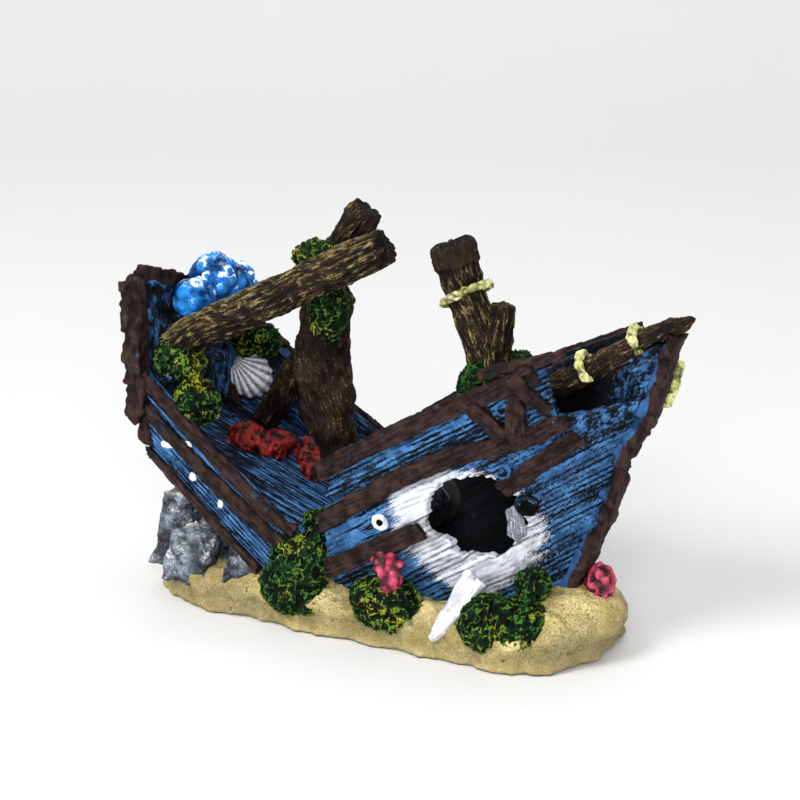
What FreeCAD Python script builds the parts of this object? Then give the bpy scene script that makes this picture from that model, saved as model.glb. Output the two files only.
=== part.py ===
"""Aquarium ornament: a wooden boat broken in two on a sand bank, with an air stone inside.

Frame: millimetres, +X towards the bow, +Y to port, +Z up, origin in the middle of the flat
underside. The bow half points up at about 31 degrees and the stern half points up at about 38
degrees, with the break between them. Both halves are open shells lofted through stations, and
every plank, rail, spar, rope, rock and growth is a piece of its own that is trimmed to what it
sits on. The air stone, its stem and its grommet slide out together through a port in the hull.
"""
import FreeCAD
import Part
import Sketcher
import math
import os

from FreeCAD import Placement, Rotation, Vector

doc = FreeCAD.newDocument("sunken_boat")
sheet = doc.addObject("Spreadsheet::Sheet", "dims")
pieces = {}
next_row = 1

X_AXIS, Y_AXIS, Z_AXIS = Vector(1, 0, 0), Vector(0, 1, 0), Vector(0, 0, 1)
STARBOARD, PORT = -1, 1
REACH = 40      # half the span of a cutting block or band, clear of everything


# ---------------------------------------------------------------- driving dimensions
def cell(alias, value):
    """Adds one named number to the sheet."""
    global next_row
    sheet.set(f"A{next_row}", alias)
    sheet.set(f"B{next_row}", f"{value:g}")
    sheet.setAlias(f"B{next_row}", alias)
    next_row += 1


def dim(alias):
    """The number that a cell holds."""
    return float(sheet.get(alias))


DIMENSIONS = {
    # sand bank
    "base_length": 106, "base_width": 39, "base_height": 9, "base_round": 4, "ground_z": 4,
    # bow half: sheer line, beam and shell
    "bow_break_x": -6, "bow_sheer_z": 37, "bow_sheer_rise": 0.66, "bow_sheer_sag": 0.00213,
    "bow_port_drop": 1.6, "bow_half_beam": 22.3, "bow_mid_x": 16, "bow_tip_x": 66, "bow_run": 0.004,
    "bow_pitch": 31, "bow_keel_z": -2, "shell_wall": 2.2, "strake_out": 1.3, "brace_out": 1.9,
    "foredeck_rise": 32, "foredeck_thick": 2.2, "foredeck_aft": 9, "foredeck_fore": 36,
    # hole in the side, small port and the opening under the bowsprit
    "hole_x": 27.6, "hole_z": 30.8, "hole_radius": 9.2,
    "head_x": 44, "head_z": 53.4, "head_length": 13.6, "head_height": 26, "head_tilt": 8,
    "tip_x": 50, "tip_z": 61.2, "tip_tilt": 31.3, "notch_radius": 4.2, "notch_length": 1.9,
    # stern half
    "stern_front_x": -9.5, "stern_back_x": -50, "stern_knee_x": -18, "stern_knee_z": 25.57,
    "stern_rise": 0.784, "deck_rise": 0.36, "stern_port_z": 30.5, "stern_port_rise": 0.58,
    "stern_port_curve": 0.0022, "stern_port_x": -12, "stern_half_beam": 20, "stern_side": 17.8,
    "stern_keel_drop": 4, "deck_front_z": 24, "deck_front_x": -14, "deck_thick": 2,
    "poop_z": 50, "poop_thick": 2, "poop_length": 6, "poop_width": 22, "poop_y": -17,
    # widths of the brown timbers
    "strake_width": 4, "brace_width": 3.2, "rail_width": 3.2, "stem_thick": 4.6,
    "transom_thick": 2.5, "transom_rake": 5, "transom_pivot_z": 52.6, "post_thick": 3.4,
    # air fittings
    "air_x": 1, "air_z": 20.5, "boss_radius": 6.9, "boss_face_y": 21.5, "port_radius": 5.5,
    "grommet_radius": 5.46, "grommet_length": 4.5, "flange_radius": 6.6, "flange_thick": 1.5,
    "grommet_lead": 0.8, "grommet_step": 0.5, "flange_chamfer": 0.4,
    "tube_radius": 2.2, "tube_seat_radius": 2.5, "tube_bore": 1.2, "tube_outer": 9,
    "tube_chamfer": 0.4, "stone_radius": 4.8, "stone_length": 16, "stone_front_y": -2,
    "stone_socket": 3, "stone_round": 1.2,
}
for word, number in DIMENSIONS.items():
    cell(word, number)
doc.recompute()


# ---------------------------------------------------------------- small helpers
def bind(obj, **expressions):
    """Ties properties to expressions on the sheet."""
    for name, expression in expressions.items():
        obj.setExpression(name, expression)
    return obj


def keep(label, obj):
    """Marks an object as one piece of the ornament, under its node name."""
    obj.Label = label
    pieces[label] = obj
    return obj


def cut(base, *tools):
    """base with each tool taken away in turn."""
    for tool in tools:
        less = doc.addObject("Part::Cut", f"{base.Name}_less")
        less.Base = base
        less.Tool = tool
        base = less
    return base


def common(base, tool):
    both = doc.addObject("Part::Common", f"{base.Name}_in")
    both.Base = base
    both.Tool = tool
    return both


def fused(name, shapes):
    if len(shapes) == 1:
        return shapes[0]
    fuse = doc.addObject("Part::MultiFuse", name)
    fuse.Shapes = shapes
    return fuse


def turned(direction):
    """The turn that takes Z onto a direction."""
    return Rotation(Z_AXIS, Vector(*direction))


def origin_plane(body, role):
    return next(f for f in body.Origin.OriginFeatures if f.Role == role)


def new_sketch(body, name, role):
    sketch = body.newObject("Sketcher::SketchObject", name)
    sketch.AttachmentSupport = [(origin_plane(body, role), "")]
    sketch.MapMode = "FlatFace"
    return sketch


def hold(sketch, name, kind, corner, value):
    """Holds one coordinate of a corner: on the axis when it is zero, by a cell otherwise."""
    if abs(value) < 1e-9:
        axis = -2 if kind == "DistanceX" else -1
        sketch.addConstraint(Sketcher.Constraint("PointOnObject", corner, 1, axis))
        return
    cell(name, value)
    index = sketch.addConstraint(Sketcher.Constraint(kind, -1, 1, corner, 1, value))
    sketch.setExpression(f"Constraints[{index}]", f"dims.{name}")


def polygon(sketch, name, points):
    """A closed outline whose corners are held by cells of the sheet."""
    count = len(points)
    for start, end in zip(points, points[1:] + points[:1]):
        sketch.addGeometry(Part.LineSegment(Vector(*start, 0), Vector(*end, 0)), False)
    for i in range(count):
        sketch.addConstraint(Sketcher.Constraint("Coincident", i, 2, (i + 1) % count, 1))
    for i, (u, v) in enumerate(points):
        hold(sketch, f"{name}_u{i + 1}", "DistanceX", i, u)
        hold(sketch, f"{name}_v{i + 1}", "DistanceY", i, v)


def plate(name, role, points, length, midplane=False, reverse=False):
    """A flat piece: an outline on one of the body's origin planes, padded."""
    body = doc.addObject("PartDesign::Body", name)
    sketch = new_sketch(body, name + "_outline", role)
    polygon(sketch, name, points)
    pad = body.newObject("PartDesign::Pad", name + "_pad")
    pad.Profile = sketch
    pad.setExpression("Length", length)
    pad.Midplane = midplane
    pad.Reversed = reverse
    sketch.Visibility = False
    return body


def plank(name, start, end, outline, thick, face):
    """A sawn plank: its outline runs along X and is as thick as said, then it is laid in place."""
    cell(f"{name}_thick", thick)
    body = plate(name, "XY_Plane", outline, f"dims.{name}_thick", midplane=True)
    along = Vector(*end) - Vector(*start)
    body.Placement = Placement(Vector(*start), Rotation(along, Vector(0, 0, 0), Vector(*face), "XZY"))
    return body


def log(name, start, end, radii):
    """A turned spar: radii are (share of the length, radius) pairs from the foot to the top."""
    axis = Vector(*end) - Vector(*start)
    profile = [(0, 0)] + [(r, share * axis.Length) for share, r in radii] + [(0, axis.Length)]
    body = doc.addObject("PartDesign::Body", name)
    sketch = new_sketch(body, name + "_profile", "XZ_Plane")
    polygon(sketch, name, profile)
    turn = body.newObject("PartDesign::Revolution", name + "_turn")
    turn.Profile = sketch
    turn.ReferenceAxis = (sketch, ["V_Axis"])
    turn.Angle = 360
    body.Placement = Placement(Vector(*start), turned(axis))
    sketch.Visibility = False
    return body


def place_by_cells(obj, name, centre):
    for letter, value in zip("xyz", centre):
        cell(f"{name}_{letter}", value)
        obj.setExpression(f".Placement.Base.{letter}", f"dims.{name}_{letter}")
    return obj


def lump(name, centre, radii):
    """A rounded growth: a ball of one radius, or an ellipsoid with radii along X, Y and Z."""
    if isinstance(radii, (int, float)):
        ball = doc.addObject("Part::Sphere", name)
        cell(f"{name}_r", radii)
        return place_by_cells(bind(ball, Radius=f"dims.{name}_r"), name, centre)
    obj = doc.addObject("Part::Ellipsoid", name)
    for letter, radius, prop in zip("abc", radii, ("Radius2", "Radius3", "Radius1")):
        cell(f"{name}_r{letter}", radius)
        obj.setExpression(prop, f"dims.{name}_r{letter}")
    return place_by_cells(obj, name, centre)


def clump(name, lumps):
    """Several lumps grown together."""
    return fused(name + "_all", [lump(f"{name}_{i + 1}", *one) for i, one in enumerate(lumps)])


def ring(name, centre, axis, radius, thick):
    """A rope turn or a port rim about an axis."""
    obj = doc.addObject("Part::Torus", name)
    cell(f"{name}_radius", radius)
    cell(f"{name}_thick", thick)
    bind(obj, Radius1=f"dims.{name}_radius", Radius2=f"dims.{name}_thick")
    obj.Placement = Placement(Vector(0, 0, 0), turned(axis))
    return place_by_cells(obj, name, centre)


def cylinder(name, centre, axis, radius, length):
    """A round bar from centre along axis. radius and length are expressions."""
    obj = doc.addObject("Part::Cylinder", name)
    bind(obj, Radius=radius, Height=length)
    obj.Placement = Placement(Vector(*centre), turned(axis))
    return obj


def block(name, corner, size, pitch=0.0):
    """A box whose length climbs by pitch degrees."""
    obj = doc.addObject("Part::Box", name)
    obj.Length, obj.Width, obj.Height = size
    obj.Placement = Placement(Vector(*corner), Rotation(Y_AXIS, -pitch))
    return obj


def boulder(name, corner, size, top_inset, turn):
    """A blocky rock: a wedge that narrows to its top, turned about the upright."""
    obj = doc.addObject("Part::Wedge", name)
    length, width, height = size
    obj.Xmin, obj.Ymin, obj.Zmin = 0, 0, 0
    obj.Xmax, obj.Ymax, obj.Zmax = length, height, width
    obj.X2min, obj.X2max = top_inset, length - top_inset
    obj.Z2min, obj.Z2max = top_inset, width - 0.7 * top_inset
    upright = Rotation(X_AXIS, 90)
    obj.Placement = Placement(Vector(*corner) + Vector(0, width, 0), Rotation(Z_AXIS, turn) * upright)
    return obj


def band(name, line, width, side):
    """A strip that follows a line in X and Z and runs out to one side of the boat."""
    cells_name = f"{name}_width"
    cell(cells_name, width)
    upper, lower = [], []
    for i, (x, z) in enumerate(line):
        (xa, za), (xb, zb) = line[max(0, i - 1)], line[min(len(line) - 1, i + 1)]
        slope = Vector(xb - xa, 0, zb - za).normalize()
        upper.append((x - slope.z * width / 2, z + slope.x * width / 2))
        lower.append((x + slope.z * width / 2, z - slope.x * width / 2))
    wire = Part.makePolygon([Vector(x, 0, z) for x, z in upper + lower[::-1] + upper[:1]])
    strip = doc.addObject("Part::Feature", name + "_strip")
    strip.Shape = Part.Face(wire)
    solid = doc.addObject("Part::Extrusion", name + "_band")
    solid.Base = strip
    solid.DirMode = "Custom"
    solid.Dir = Vector(0, side, 0)
    solid.LengthFwd = REACH
    solid.Solid = True
    return solid


# ---------------------------------------------------------------- hull lines
STEM = [(38, 3), (41, 11), (45.6, 20.2), (49.4, 29.3), (51.5, 36.2), (53, 42.2),
        (55.2, 46), (58.7, 52), (60.6, 58), (62.2, 66), (65.5, 71.5)]
STEM_FACING = 1.8
BOW_STATIONS = (dim("bow_break_x"), 6, 18, 28, 34, 39, 43, 47, 50.5, 54, 58, 61.5)
STERN_STATIONS = (dim("stern_back_x"), -45, -38, -31, -24, dim("stern_knee_x"), dim("stern_front_x"))
HEIGHT_SHARES = (0.0, 0.12, 0.3, 0.5, 0.72, 1.0)
TOOL_RISE = 8       # how far a cutting copy of a hull stands above its sheer
SKIN_RISE = 0.8     # how far a plank skin stands above the sheer
SKIN_GAP = 0.03     # what is left between a plank and the shell it lies on


def between(points, x):
    """Straight-line reading of a curve given by points."""
    if x <= points[0][0]:
        return points[0][1]
    for (xa, za), (xb, zb) in zip(points, points[1:]):
        if x <= xb:
            return za + (zb - za) * (x - xa) / (xb - xa)
    return points[-1][1]


def bow_sheer(x, side):
    run = x - dim("bow_break_x")
    sheer = dim("bow_sheer_z") + dim("bow_sheer_rise") * run - dim("bow_sheer_sag") * run ** 2
    if side == PORT and 10 < x < 60:
        sheer -= dim("bow_port_drop") * math.sin(math.pi * (x - 10) / 50)
    return sheer


def bow_beam(x):
    mid = dim("bow_mid_x")
    if x < mid:
        return dim("bow_half_beam") - dim("bow_run") * (x - mid) ** 2
    share = (x - mid) / (dim("bow_tip_x") - mid)
    return dim("bow_half_beam") * (1 - share ** 2.4)


def bow_half(x, side, grow):
    """(y, z) from keel to sheer at x, moved outwards by grow."""
    sheer = bow_sheer(x, side)
    keel = between([(34, dim("bow_keel_z"))] + STEM, x + STEM_FACING) - grow
    fine = min(1.0, max(0.0, (x - dim("bow_break_x")) / 48))
    bulge, slope = 2.0 - 0.75 * fine, 2.5 - 1.35 * fine
    half = []
    for share in HEIGHT_SHARES:
        y = bow_beam(x) * (1 - (1 - share) ** bulge) ** (1 / slope)
        half.append((max(0.0, y + grow * min(1.0, 4 * share)), keel + (sheer - keel) * share))
    return half


def stern_sheer(x, side):
    if side == PORT:
        run = dim("stern_port_x") - x
        return dim("stern_port_z") + dim("stern_port_rise") * run + dim("stern_port_curve") * run ** 2
    knee = dim("stern_knee_x")
    rise = dim("stern_rise") if x < knee else dim("deck_rise")
    return dim("stern_knee_z") + rise * (knee - x)


def stern_half(x, side, grow):
    """(y, z) from keel to sheer at x, moved outwards by grow."""
    low = stern_sheer(x, STARBOARD) - dim("stern_side") - 0.8 * grow
    keel = low - dim("stern_keel_drop") - 0.2 * grow
    beam = dim("stern_half_beam") - 0.0008 * (x + 22) ** 2 + grow
    sheer = stern_sheer(x, side)
    return [(0.0, keel), (beam * 0.55, keel + 0.8), (beam * 0.86, low - 0.6),
            (beam * 0.94, low + 3.5), (beam * 0.985, (low + sheer) / 2 + 2), (beam, sheer)]


def station_wire(x, half, grow, top):
    """A closed section at x: a spline round the keel, upright above the sheer, and a straight lid."""
    starboard, port = half(x, STARBOARD, grow), half(x, PORT, grow)
    path = [Vector(x, -y, z) for y, z in reversed(starboard)]
    path += [Vector(x, y, z) for y, z in port[1:]]
    curve = Part.BSplineCurve()
    curve.interpolate(path)
    corners = [path[-1], path[0]]
    if top:
        rise = Vector(0, 0, top)
        corners = [path[-1], path[-1] + rise, path[0] + rise, path[0]]
    lid = [Part.makeLine(a, b) for a, b in zip(corners, corners[1:])]
    return Part.Wire([curve.toShape()] + lid)


def hull_solid(name, stations, half, grow=0.0, top=0.0):
    """A filled boat half, moved outwards by grow and raised above its sheer by top."""
    solid = doc.addObject("Part::Feature", name)
    solid.Shape = Part.makeLoft([station_wire(x, half, grow, top) for x in stations], True, False)
    return solid


def stretched(stations, first, last):
    """The same stations with the two end ones moved along the boat."""
    return (stations[0] + first,) + tuple(stations[1:-1]) + (stations[-1] + last,)


# ---------------------------------------------------------------- sand bank
def make_sand_base():
    body = doc.addObject("PartDesign::Body", "sand_base_body")
    sketch = new_sketch(body, "sand_base_outline", "XY_Plane")
    half = (dim("base_length") - dim("base_width")) / 2
    radius = dim("base_width") / 2
    sketch.addGeometry(Part.LineSegment(Vector(-half, -radius, 0), Vector(half, -radius, 0)), False)
    sketch.addGeometry(Part.LineSegment(Vector(half, radius, 0), Vector(-half, radius, 0)), False)
    for x, start in ((half, -math.pi / 2), (-half, math.pi / 2)):
        circle = Part.Circle(Vector(x, 0, 0), Z_AXIS, radius)
        sketch.addGeometry(Part.ArcOfCircle(circle, start, start + math.pi), False)
    for first, end, second, start in ((0, 2, 2, 1), (2, 2, 1, 1), (1, 2, 3, 1), (3, 2, 0, 1)):
        sketch.addConstraint(Sketcher.Constraint("Tangent", first, end, second, start))
    sketch.addConstraint(Sketcher.Constraint("Symmetric", 2, 3, 3, 3, -1, 1))
    sketch.addConstraint(Sketcher.Constraint("PointOnObject", 2, 3, -1))
    index = sketch.addConstraint(Sketcher.Constraint("Radius", 2, radius))
    sketch.setExpression(f"Constraints[{index}]", "dims.base_width / 2")
    index = sketch.addConstraint(Sketcher.Constraint("DistanceX", 3, 3, 2, 3, 2 * half))
    sketch.setExpression(f"Constraints[{index}]", "dims.base_length - dims.base_width")
    pad = body.newObject("PartDesign::Pad", "sand_base_pad")
    pad.Profile = sketch
    pad.setExpression("Length", "dims.base_height")
    doc.recompute()
    rim = [f"Edge{i + 1}" for i, edge in enumerate(pad.Shape.Edges)
           if edge.CenterOfMass.z > dim("base_height") - 0.01]
    fillet = body.newObject("PartDesign::Fillet", "sand_base_rounding")
    fillet.Base = (pad, rim)
    fillet.setExpression("Radius", "dims.base_round")
    body.Tip = fillet
    sketch.Visibility = False
    return body


base = keep("sand_base", make_sand_base())
ground = block("ground", (-2 * REACH, -REACH, -REACH), (4 * REACH, 2 * REACH, REACH + dim("ground_z")))

# ---------------------------------------------------------------- bow half: shell and foredeck
BOWSPRIT_START, BOWSPRIT_END = (38, -3.5, 55.5), (66.8, 0, 73)
FORE_LASHING = (56, -1.31, 66.44)
sprit_axis = Vector(*BOWSPRIT_END) - Vector(*BOWSPRIT_START)
wall = dim("shell_wall")
bow_outer = hull_solid("bow_outer", BOW_STATIONS, bow_half)
bow_inner = hull_solid("bow_inner", stretched(BOW_STATIONS[:-1], -1, 0), bow_half, -wall, TOOL_RISE)
bow_tool = hull_solid("bow_tool", stretched(BOW_STATIONS, -1, 0), bow_half, SKIN_GAP, TOOL_RISE)
bow_skin = cut(hull_solid("bow_skin", BOW_STATIONS, bow_half, dim("strake_out"), SKIN_RISE), bow_tool)
bow_over = cut(hull_solid("bow_over", BOW_STATIONS, bow_half, dim("brace_out"), SKIN_RISE), bow_tool)

hole_centre = (dim("hole_x"), -REACH, dim("hole_z"))
hole_cutter = cylinder("hole_cutter", hole_centre, (0, 1, 0), "dims.hole_radius", f"{REACH}")
air_centre = (dim("air_x"), 0, dim("air_z"))
air_bore = cylinder("air_bore", air_centre, (0, 1, 0), "dims.port_radius", f"{REACH}")
head_cutter = block("head_cutter", (dim("head_x"), -REACH, dim("head_z")),
                    (dim("head_length"), REACH - 1, dim("head_height")), dim("head_tilt"))
boss = cylinder("boss", air_centre, (0, 1, 0), "dims.boss_radius", "dims.boss_face_y")
tip_cutter = block("tip_cutter", (dim("tip_x"), -REACH, dim("tip_z")), (REACH, 2 * REACH, REACH),
                   dim("tip_tilt"))
planks_clear = cylinder("planks_clear", air_centre, (0, 1, 0), "dims.boss_radius + 0.3", f"{REACH}")
notch_start = Vector(*FORE_LASHING) - sprit_axis.normalize() * (dim("notch_length") / 2)
lashing_notch = cylinder("lashing_notch", notch_start, sprit_axis, "dims.notch_radius",
                         "dims.notch_length")
bow_shell = cut(fused("bow_filled", [bow_outer, boss]), bow_inner, ground, base,
                hole_cutter, head_cutter, tip_cutter, air_bore, lashing_notch)
bow_hull = keep("bow_hull", bow_shell)

pitch = math.radians(dim("bow_pitch"))
deck_low = dim("foredeck_rise") - dim("foredeck_thick")
deck_start = dim("foredeck_aft")
deck_corner = (deck_start, -REACH, (deck_low + deck_start * math.sin(pitch)) / math.cos(pitch))
deck_length = (dim("foredeck_fore") - deck_start) / math.cos(pitch)
foredeck_slab = block("foredeck_slab", deck_corner,
                      (deck_length, 2 * REACH, dim("foredeck_thick")), dim("bow_pitch"))
foredeck = keep("foredeck", common(foredeck_slab, bow_inner))

# ---------------------------------------------------------------- bow half: stem and planking
stem_line = STEM[:-1] + [(64.2, 69.6)]
stem_outline = [(x + 0.5, z - 0.4) for x, z in stem_line] + [(x - 3, z) for x, z in reversed(stem_line)]
stem_plate = plate("stem", "XZ_Plane", stem_outline, "dims.stem_thick", midplane=True)
stem_post = keep("stem_post", cut(stem_plate, bow_outer, base))


def sheer_line(sheer, side, stations, below):
    return [(x, sheer(x, side) - below) for x in stations]


def strake(name, skin, line, width, side, *tools):
    """One piece of planking: the part of a skin that a band covers."""
    return keep(name, cut(common(skin, band(name, line, width, side)), *tools))


STRAKE = dim("strake_width")
GUNWALE_STATIONS = (-5.9, 6, 18, 30, 42, 49)
MID_LINE = [(-8, 23.4), (13.4, 37.9), (25.5, 44.4), (38, 48.2), (46, 53)]
LOWER_LINE = [(-8, 13.2), (15.2, 25.9), (31.8, 35.5), (46.7, 48.1)]
starboard_gunwale = strake("bow_gunwale_starboard", bow_skin,
                           sheer_line(bow_sheer, STARBOARD, GUNWALE_STATIONS[:-1], 1.2),
                           STRAKE, STARBOARD)
port_gunwale = strake("bow_gunwale_port", bow_skin,
                      sheer_line(bow_sheer, PORT, GUNWALE_STATIONS, 1.2), STRAKE, PORT)
mid_starboard = strake("mid_strake_starboard", bow_skin, MID_LINE, STRAKE, STARBOARD, head_cutter)
mid_port = strake("mid_strake_port", bow_skin, MID_LINE, STRAKE, PORT, planks_clear)
lower_aft = strake("lower_strake_aft", bow_skin, [(-8, 13.2), (17.6, 27.2)], STRAKE, STARBOARD,
                   hole_cutter, base)
lower_fore = strake("lower_strake_fore", bow_skin, [(31.8, 35.5), (47.5, 48.8)], 3.6, STARBOARD,
                    hole_cutter, mid_starboard)
lower_port = strake("lower_strake_port", bow_skin, [(17.5, 27.2), (31.8, 35.5), (46.7, 47.6)],
                    STRAKE, PORT, planks_clear)
BRACE = dim("brace_width")
brace_upper = strake("brace_upper", bow_over, [(37.2, 61.8), (43.6, 54.6)], BRACE, STARBOARD,
                     starboard_gunwale, mid_starboard, head_cutter)
brace_lower = strake("brace_lower", bow_over, [(29.6, 55.6), (37.4, 47.4)], BRACE, STARBOARD,
                     starboard_gunwale, mid_starboard, lower_fore)
brace_upright = strake("brace_upright", bow_over, [(37.2, 47.9), (38.7, 58.4)], BRACE, STARBOARD,
                       starboard_gunwale, mid_starboard, brace_upper, brace_lower)

cap_outline = [(0, -2.2), (9, -2.8), (17, -1.6), (18.4, 0.6), (12, 2.4), (1.2, 2.6)]
cap_plank = keep("cap_plank", cut(plank("cap", (29.8, -19.6, 60.9), (46.2, -14.2, 66.2), cap_outline,
                                        2.0, (-0.3, 0, 1)),
                                  bow_outer, starboard_gunwale, brace_upper))
hanging_outline = [(0, -2.4), (6, -2.2), (16.2, -0.8), (16.6, 0.6), (11, 2.2), (1, 2.6)]
hanging_plank = keep("hanging_plank", cut(plank("hanging", (26.9, -13.9, 17.9), (20.1, -20.8, 4.4),
                                                hanging_outline, 1.5, (0, -1, 0.6)),
                                          bow_outer, base))
splinter_outline = [(0, 0), (3.4, -1.2), (5, 1.8), (2.6, 7.4), (-0.6, 5)]
splinter = keep("inner_splinter", cut(plank("splinter", (32.6, -11, 26.2), (33.6, -11.4, 26.2),
                                            splinter_outline, 1.1, (0.2, -1, 0)),
                                      bow_shell))

pale_ring = keep("port_ring_pale", cut(ring("pale_ring", (8, -20, 27.3), (0, -1, -0.15), 1.3, 0.55),
                                       bow_outer))
dark_ring = keep("port_ring_dark", cut(ring("dark_ring", (37.9, -13.6, 34), (0.3, -0.9, -0.3), 1.9, 0.6),
                                       bow_outer))

# ---------------------------------------------------------------- bow half: spars and ropes
FOREMAST_RADII = [(0, 4.2), (0.45, 4), (0.72, 4.1), (0.75, 4.6), (0.96, 4.4), (1, 3.8)]
foremast = keep("foremast", cut(log("foremast_log", (24.3, 0, 50.5), (12.4, 0, 82), FOREMAST_RADII),
                                foredeck))
branch = keep("foremast_branch", cut(log("branch", (24.8, -3.4, 52.2), (26.4, -3, 71),
                                         [(0, 2.6), (0.8, 2.8), (1, 2.4)]), foredeck, foremast))
foremast_rope = keep("foremast_rope", ring("mast_rope", (16.45, 0, 71.2), (-0.5, 0.1, 0.85), 5.1, 0.8))
bowsprit = keep("bowsprit", cut(log("bowsprit_log", BOWSPRIT_START, BOWSPRIT_END,
                                    [(0, 2.6), (0.6, 2.5), (0.85, 2.2), (0.96, 1.1)]),
                                bow_shell, stem_post))
rope_aft = keep("bowsprit_rope_aft", ring("rope_aft", (45.4, -2.6, 60), sprit_axis, 3.38, 0.8))
rope_fore = keep("bowsprit_rope_fore", ring("rope_fore", FORE_LASHING, sprit_axis, 3.3, 0.8))
stem_rope = keep("stem_rope", cut(log("stem_rope_coil", (59.4, 3.6, 53.4), (62.2, 3.2, 62.5),
                                      [(0, 0.9), (0.5, 1.2), (1, 0.9)]), bow_outer, stem_post))

# ---------------------------------------------------------------- stern half: transom and post
transom_outline = [(-18.8, 34), (-18.8, 69), (-14, 71.5), (2, 66), (12, 60), (16.5, 58), (17, 40), (0, 30.5)]
transom_plate = plate("transom_board", "YZ_Plane", transom_outline, "dims.transom_thick", reverse=True)
pivot = Vector(dim("stern_back_x"), 0, dim("transom_pivot_z"))
rake = Rotation(Y_AXIS, -dim("transom_rake"))
transom_plate.Placement = Placement(pivot - rake.multVec(Vector(0, 0, pivot.z)), rake)
transom = keep("transom", transom_plate)
post_outline = [(-52.6, 41), (-50.6, 38.5), (-48.4, 42), (-49.2, 55), (-48.2, 62), (-50, 70.4), (-53.8, 69.6)]
post_plate = plate("quarter_board", "XZ_Plane", post_outline, "dims.post_thick")
post_plate.Placement.Base = Vector(0, -17.9, 0)
quarter_post = keep("quarter_post", cut(post_plate, transom))

# ---------------------------------------------------------------- stern half: shell, decks, rails
stern_outer = hull_solid("stern_outer", STERN_STATIONS, stern_half)
stern_inner = hull_solid("stern_inner", stretched(STERN_STATIONS, -1, 1), stern_half, -wall, TOOL_RISE)
stern_tool = hull_solid("stern_tool", stretched(STERN_STATIONS, -1, 1), stern_half, SKIN_GAP, TOOL_RISE)
stern_skin = cut(hull_solid("stern_skin", STERN_STATIONS, stern_half, dim("strake_out"), SKIN_RISE),
                 stern_tool)
stern_shell = keep("stern_hull", cut(stern_outer, stern_inner, ground, base, transom, quarter_post))

deck_slope = math.degrees(math.atan(dim("deck_rise")))
slab_length = 60
slab_back_x = dim("deck_front_x") - slab_length
slab_back_z = dim("deck_front_z") + dim("deck_rise") * slab_length
slab_drop = dim("deck_thick") / math.cos(math.radians(deck_slope))
deck_slab = block("deck_slab", (slab_back_x, -REACH, slab_back_z - slab_drop),
                  (slab_length + 6, 2 * REACH, dim("deck_thick")), -deck_slope)
stern_deck = keep("stern_deck", cut(common(deck_slab, stern_inner), base, transom))
under_deck = block("under_deck", (slab_back_x, -REACH, slab_back_z - slab_drop),
                   (slab_length + 12, 2 * REACH, REACH), -deck_slope)
under_deck.Placement = Placement(under_deck.Placement.Base, Rotation(Y_AXIS, deck_slope)) * Placement(
    Vector(0, 0, dim("deck_thick") - REACH), Rotation())
stern_fill = common(stern_outer, under_deck)

RAIL = dim("rail_width")
RAIL_STATIONS = (-49.9, -43, -35, -27, -18, -11.5)
stern_gunwale_s = strake("stern_gunwale_starboard", stern_skin,
                         sheer_line(stern_sheer, STARBOARD, RAIL_STATIONS, 1.0), RAIL, STARBOARD,
                         transom, quarter_post)
stern_gunwale_p = strake("stern_gunwale_port", stern_skin,
                         sheer_line(stern_sheer, PORT, RAIL_STATIONS, 1.0), RAIL, PORT, transom)
MID_RAIL = [(-50.5, 43.2), (-47.1, 41), (-31.6, 29.7), (-15.8, 18.7), (-11.5, 16)]
LOW_RAIL = [(-50.5, 33.2), (-35.1, 21.1), (-22, 11)]
mid_rail_s = strake("stern_mid_rail_starboard", stern_skin, MID_RAIL, RAIL, STARBOARD, quarter_post)
mid_rail_p = strake("stern_mid_rail_port", stern_skin, MID_RAIL, RAIL, PORT)
low_rail_s = strake("stern_low_rail_starboard", stern_skin, LOW_RAIL, 3.0, STARBOARD, base, transom)

poop_slab = block("poop_slab", (dim("stern_back_x"), dim("poop_y"), dim("poop_z") - dim("poop_thick")),
                  (dim("poop_length"), dim("poop_width"), dim("poop_thick")))
poop_deck = keep("poop_deck", cut(poop_slab, stern_shell, transom, quarter_post))

# ---------------------------------------------------------------- stern half: spars
MAST_POINTS = [((-13.7, 2, 19), 3.9), ((-13.8, 2, 30), 4.1), ((-18.4, 2, 46), 5.6),
               ((-17.2, 1.4, 61), 5), ((-18.2, 0, 72.5), 4)]
profiles = []
for i, (centre, radius) in enumerate(MAST_POINTS):
    before = Vector(*MAST_POINTS[max(0, i - 1)][0])
    after = Vector(*MAST_POINTS[min(len(MAST_POINTS) - 1, i + 1)][0])
    circle = doc.addObject("Part::Circle", f"mast_section_{i + 1}")
    cell(f"mast_radius_{i + 1}", radius)
    bind(circle, Radius=f"dims.mast_radius_{i + 1}")
    circle.Placement = Placement(Vector(*centre), turned(after - before))
    profiles.append(circle)
mast_loft = doc.addObject("Part::Loft", "mast_loft")
mast_loft.Sections = profiles
mast_loft.Solid = True
mainmast = keep("mainmast", cut(mast_loft, stern_fill))
yard = keep("fallen_yard", cut(log("yard", (-47, -13, 54.9), (3.5, -9, 81.6),
                                   [(0, 3.4), (0.1, 3.9), (0.7, 4.1), (1, 3.7)]), mainmast, quarter_post))
mast_top = keep("mast_top", cut(log("mast_head", (-18, 0, 70), (-8, 3.4, 85.8),
                                    [(0, 3.4), (0.5, 3.4), (0.85, 3.9), (1, 3.2)]), mainmast, yard))
strut = keep("mast_strut", cut(log("strut", (-40, 13, 32.6), (-25.5, 5.5, 52), [(0, 3), (0.6, 2.9), (1, 2.4)]),
                               stern_fill, stern_shell, mainmast))

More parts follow.
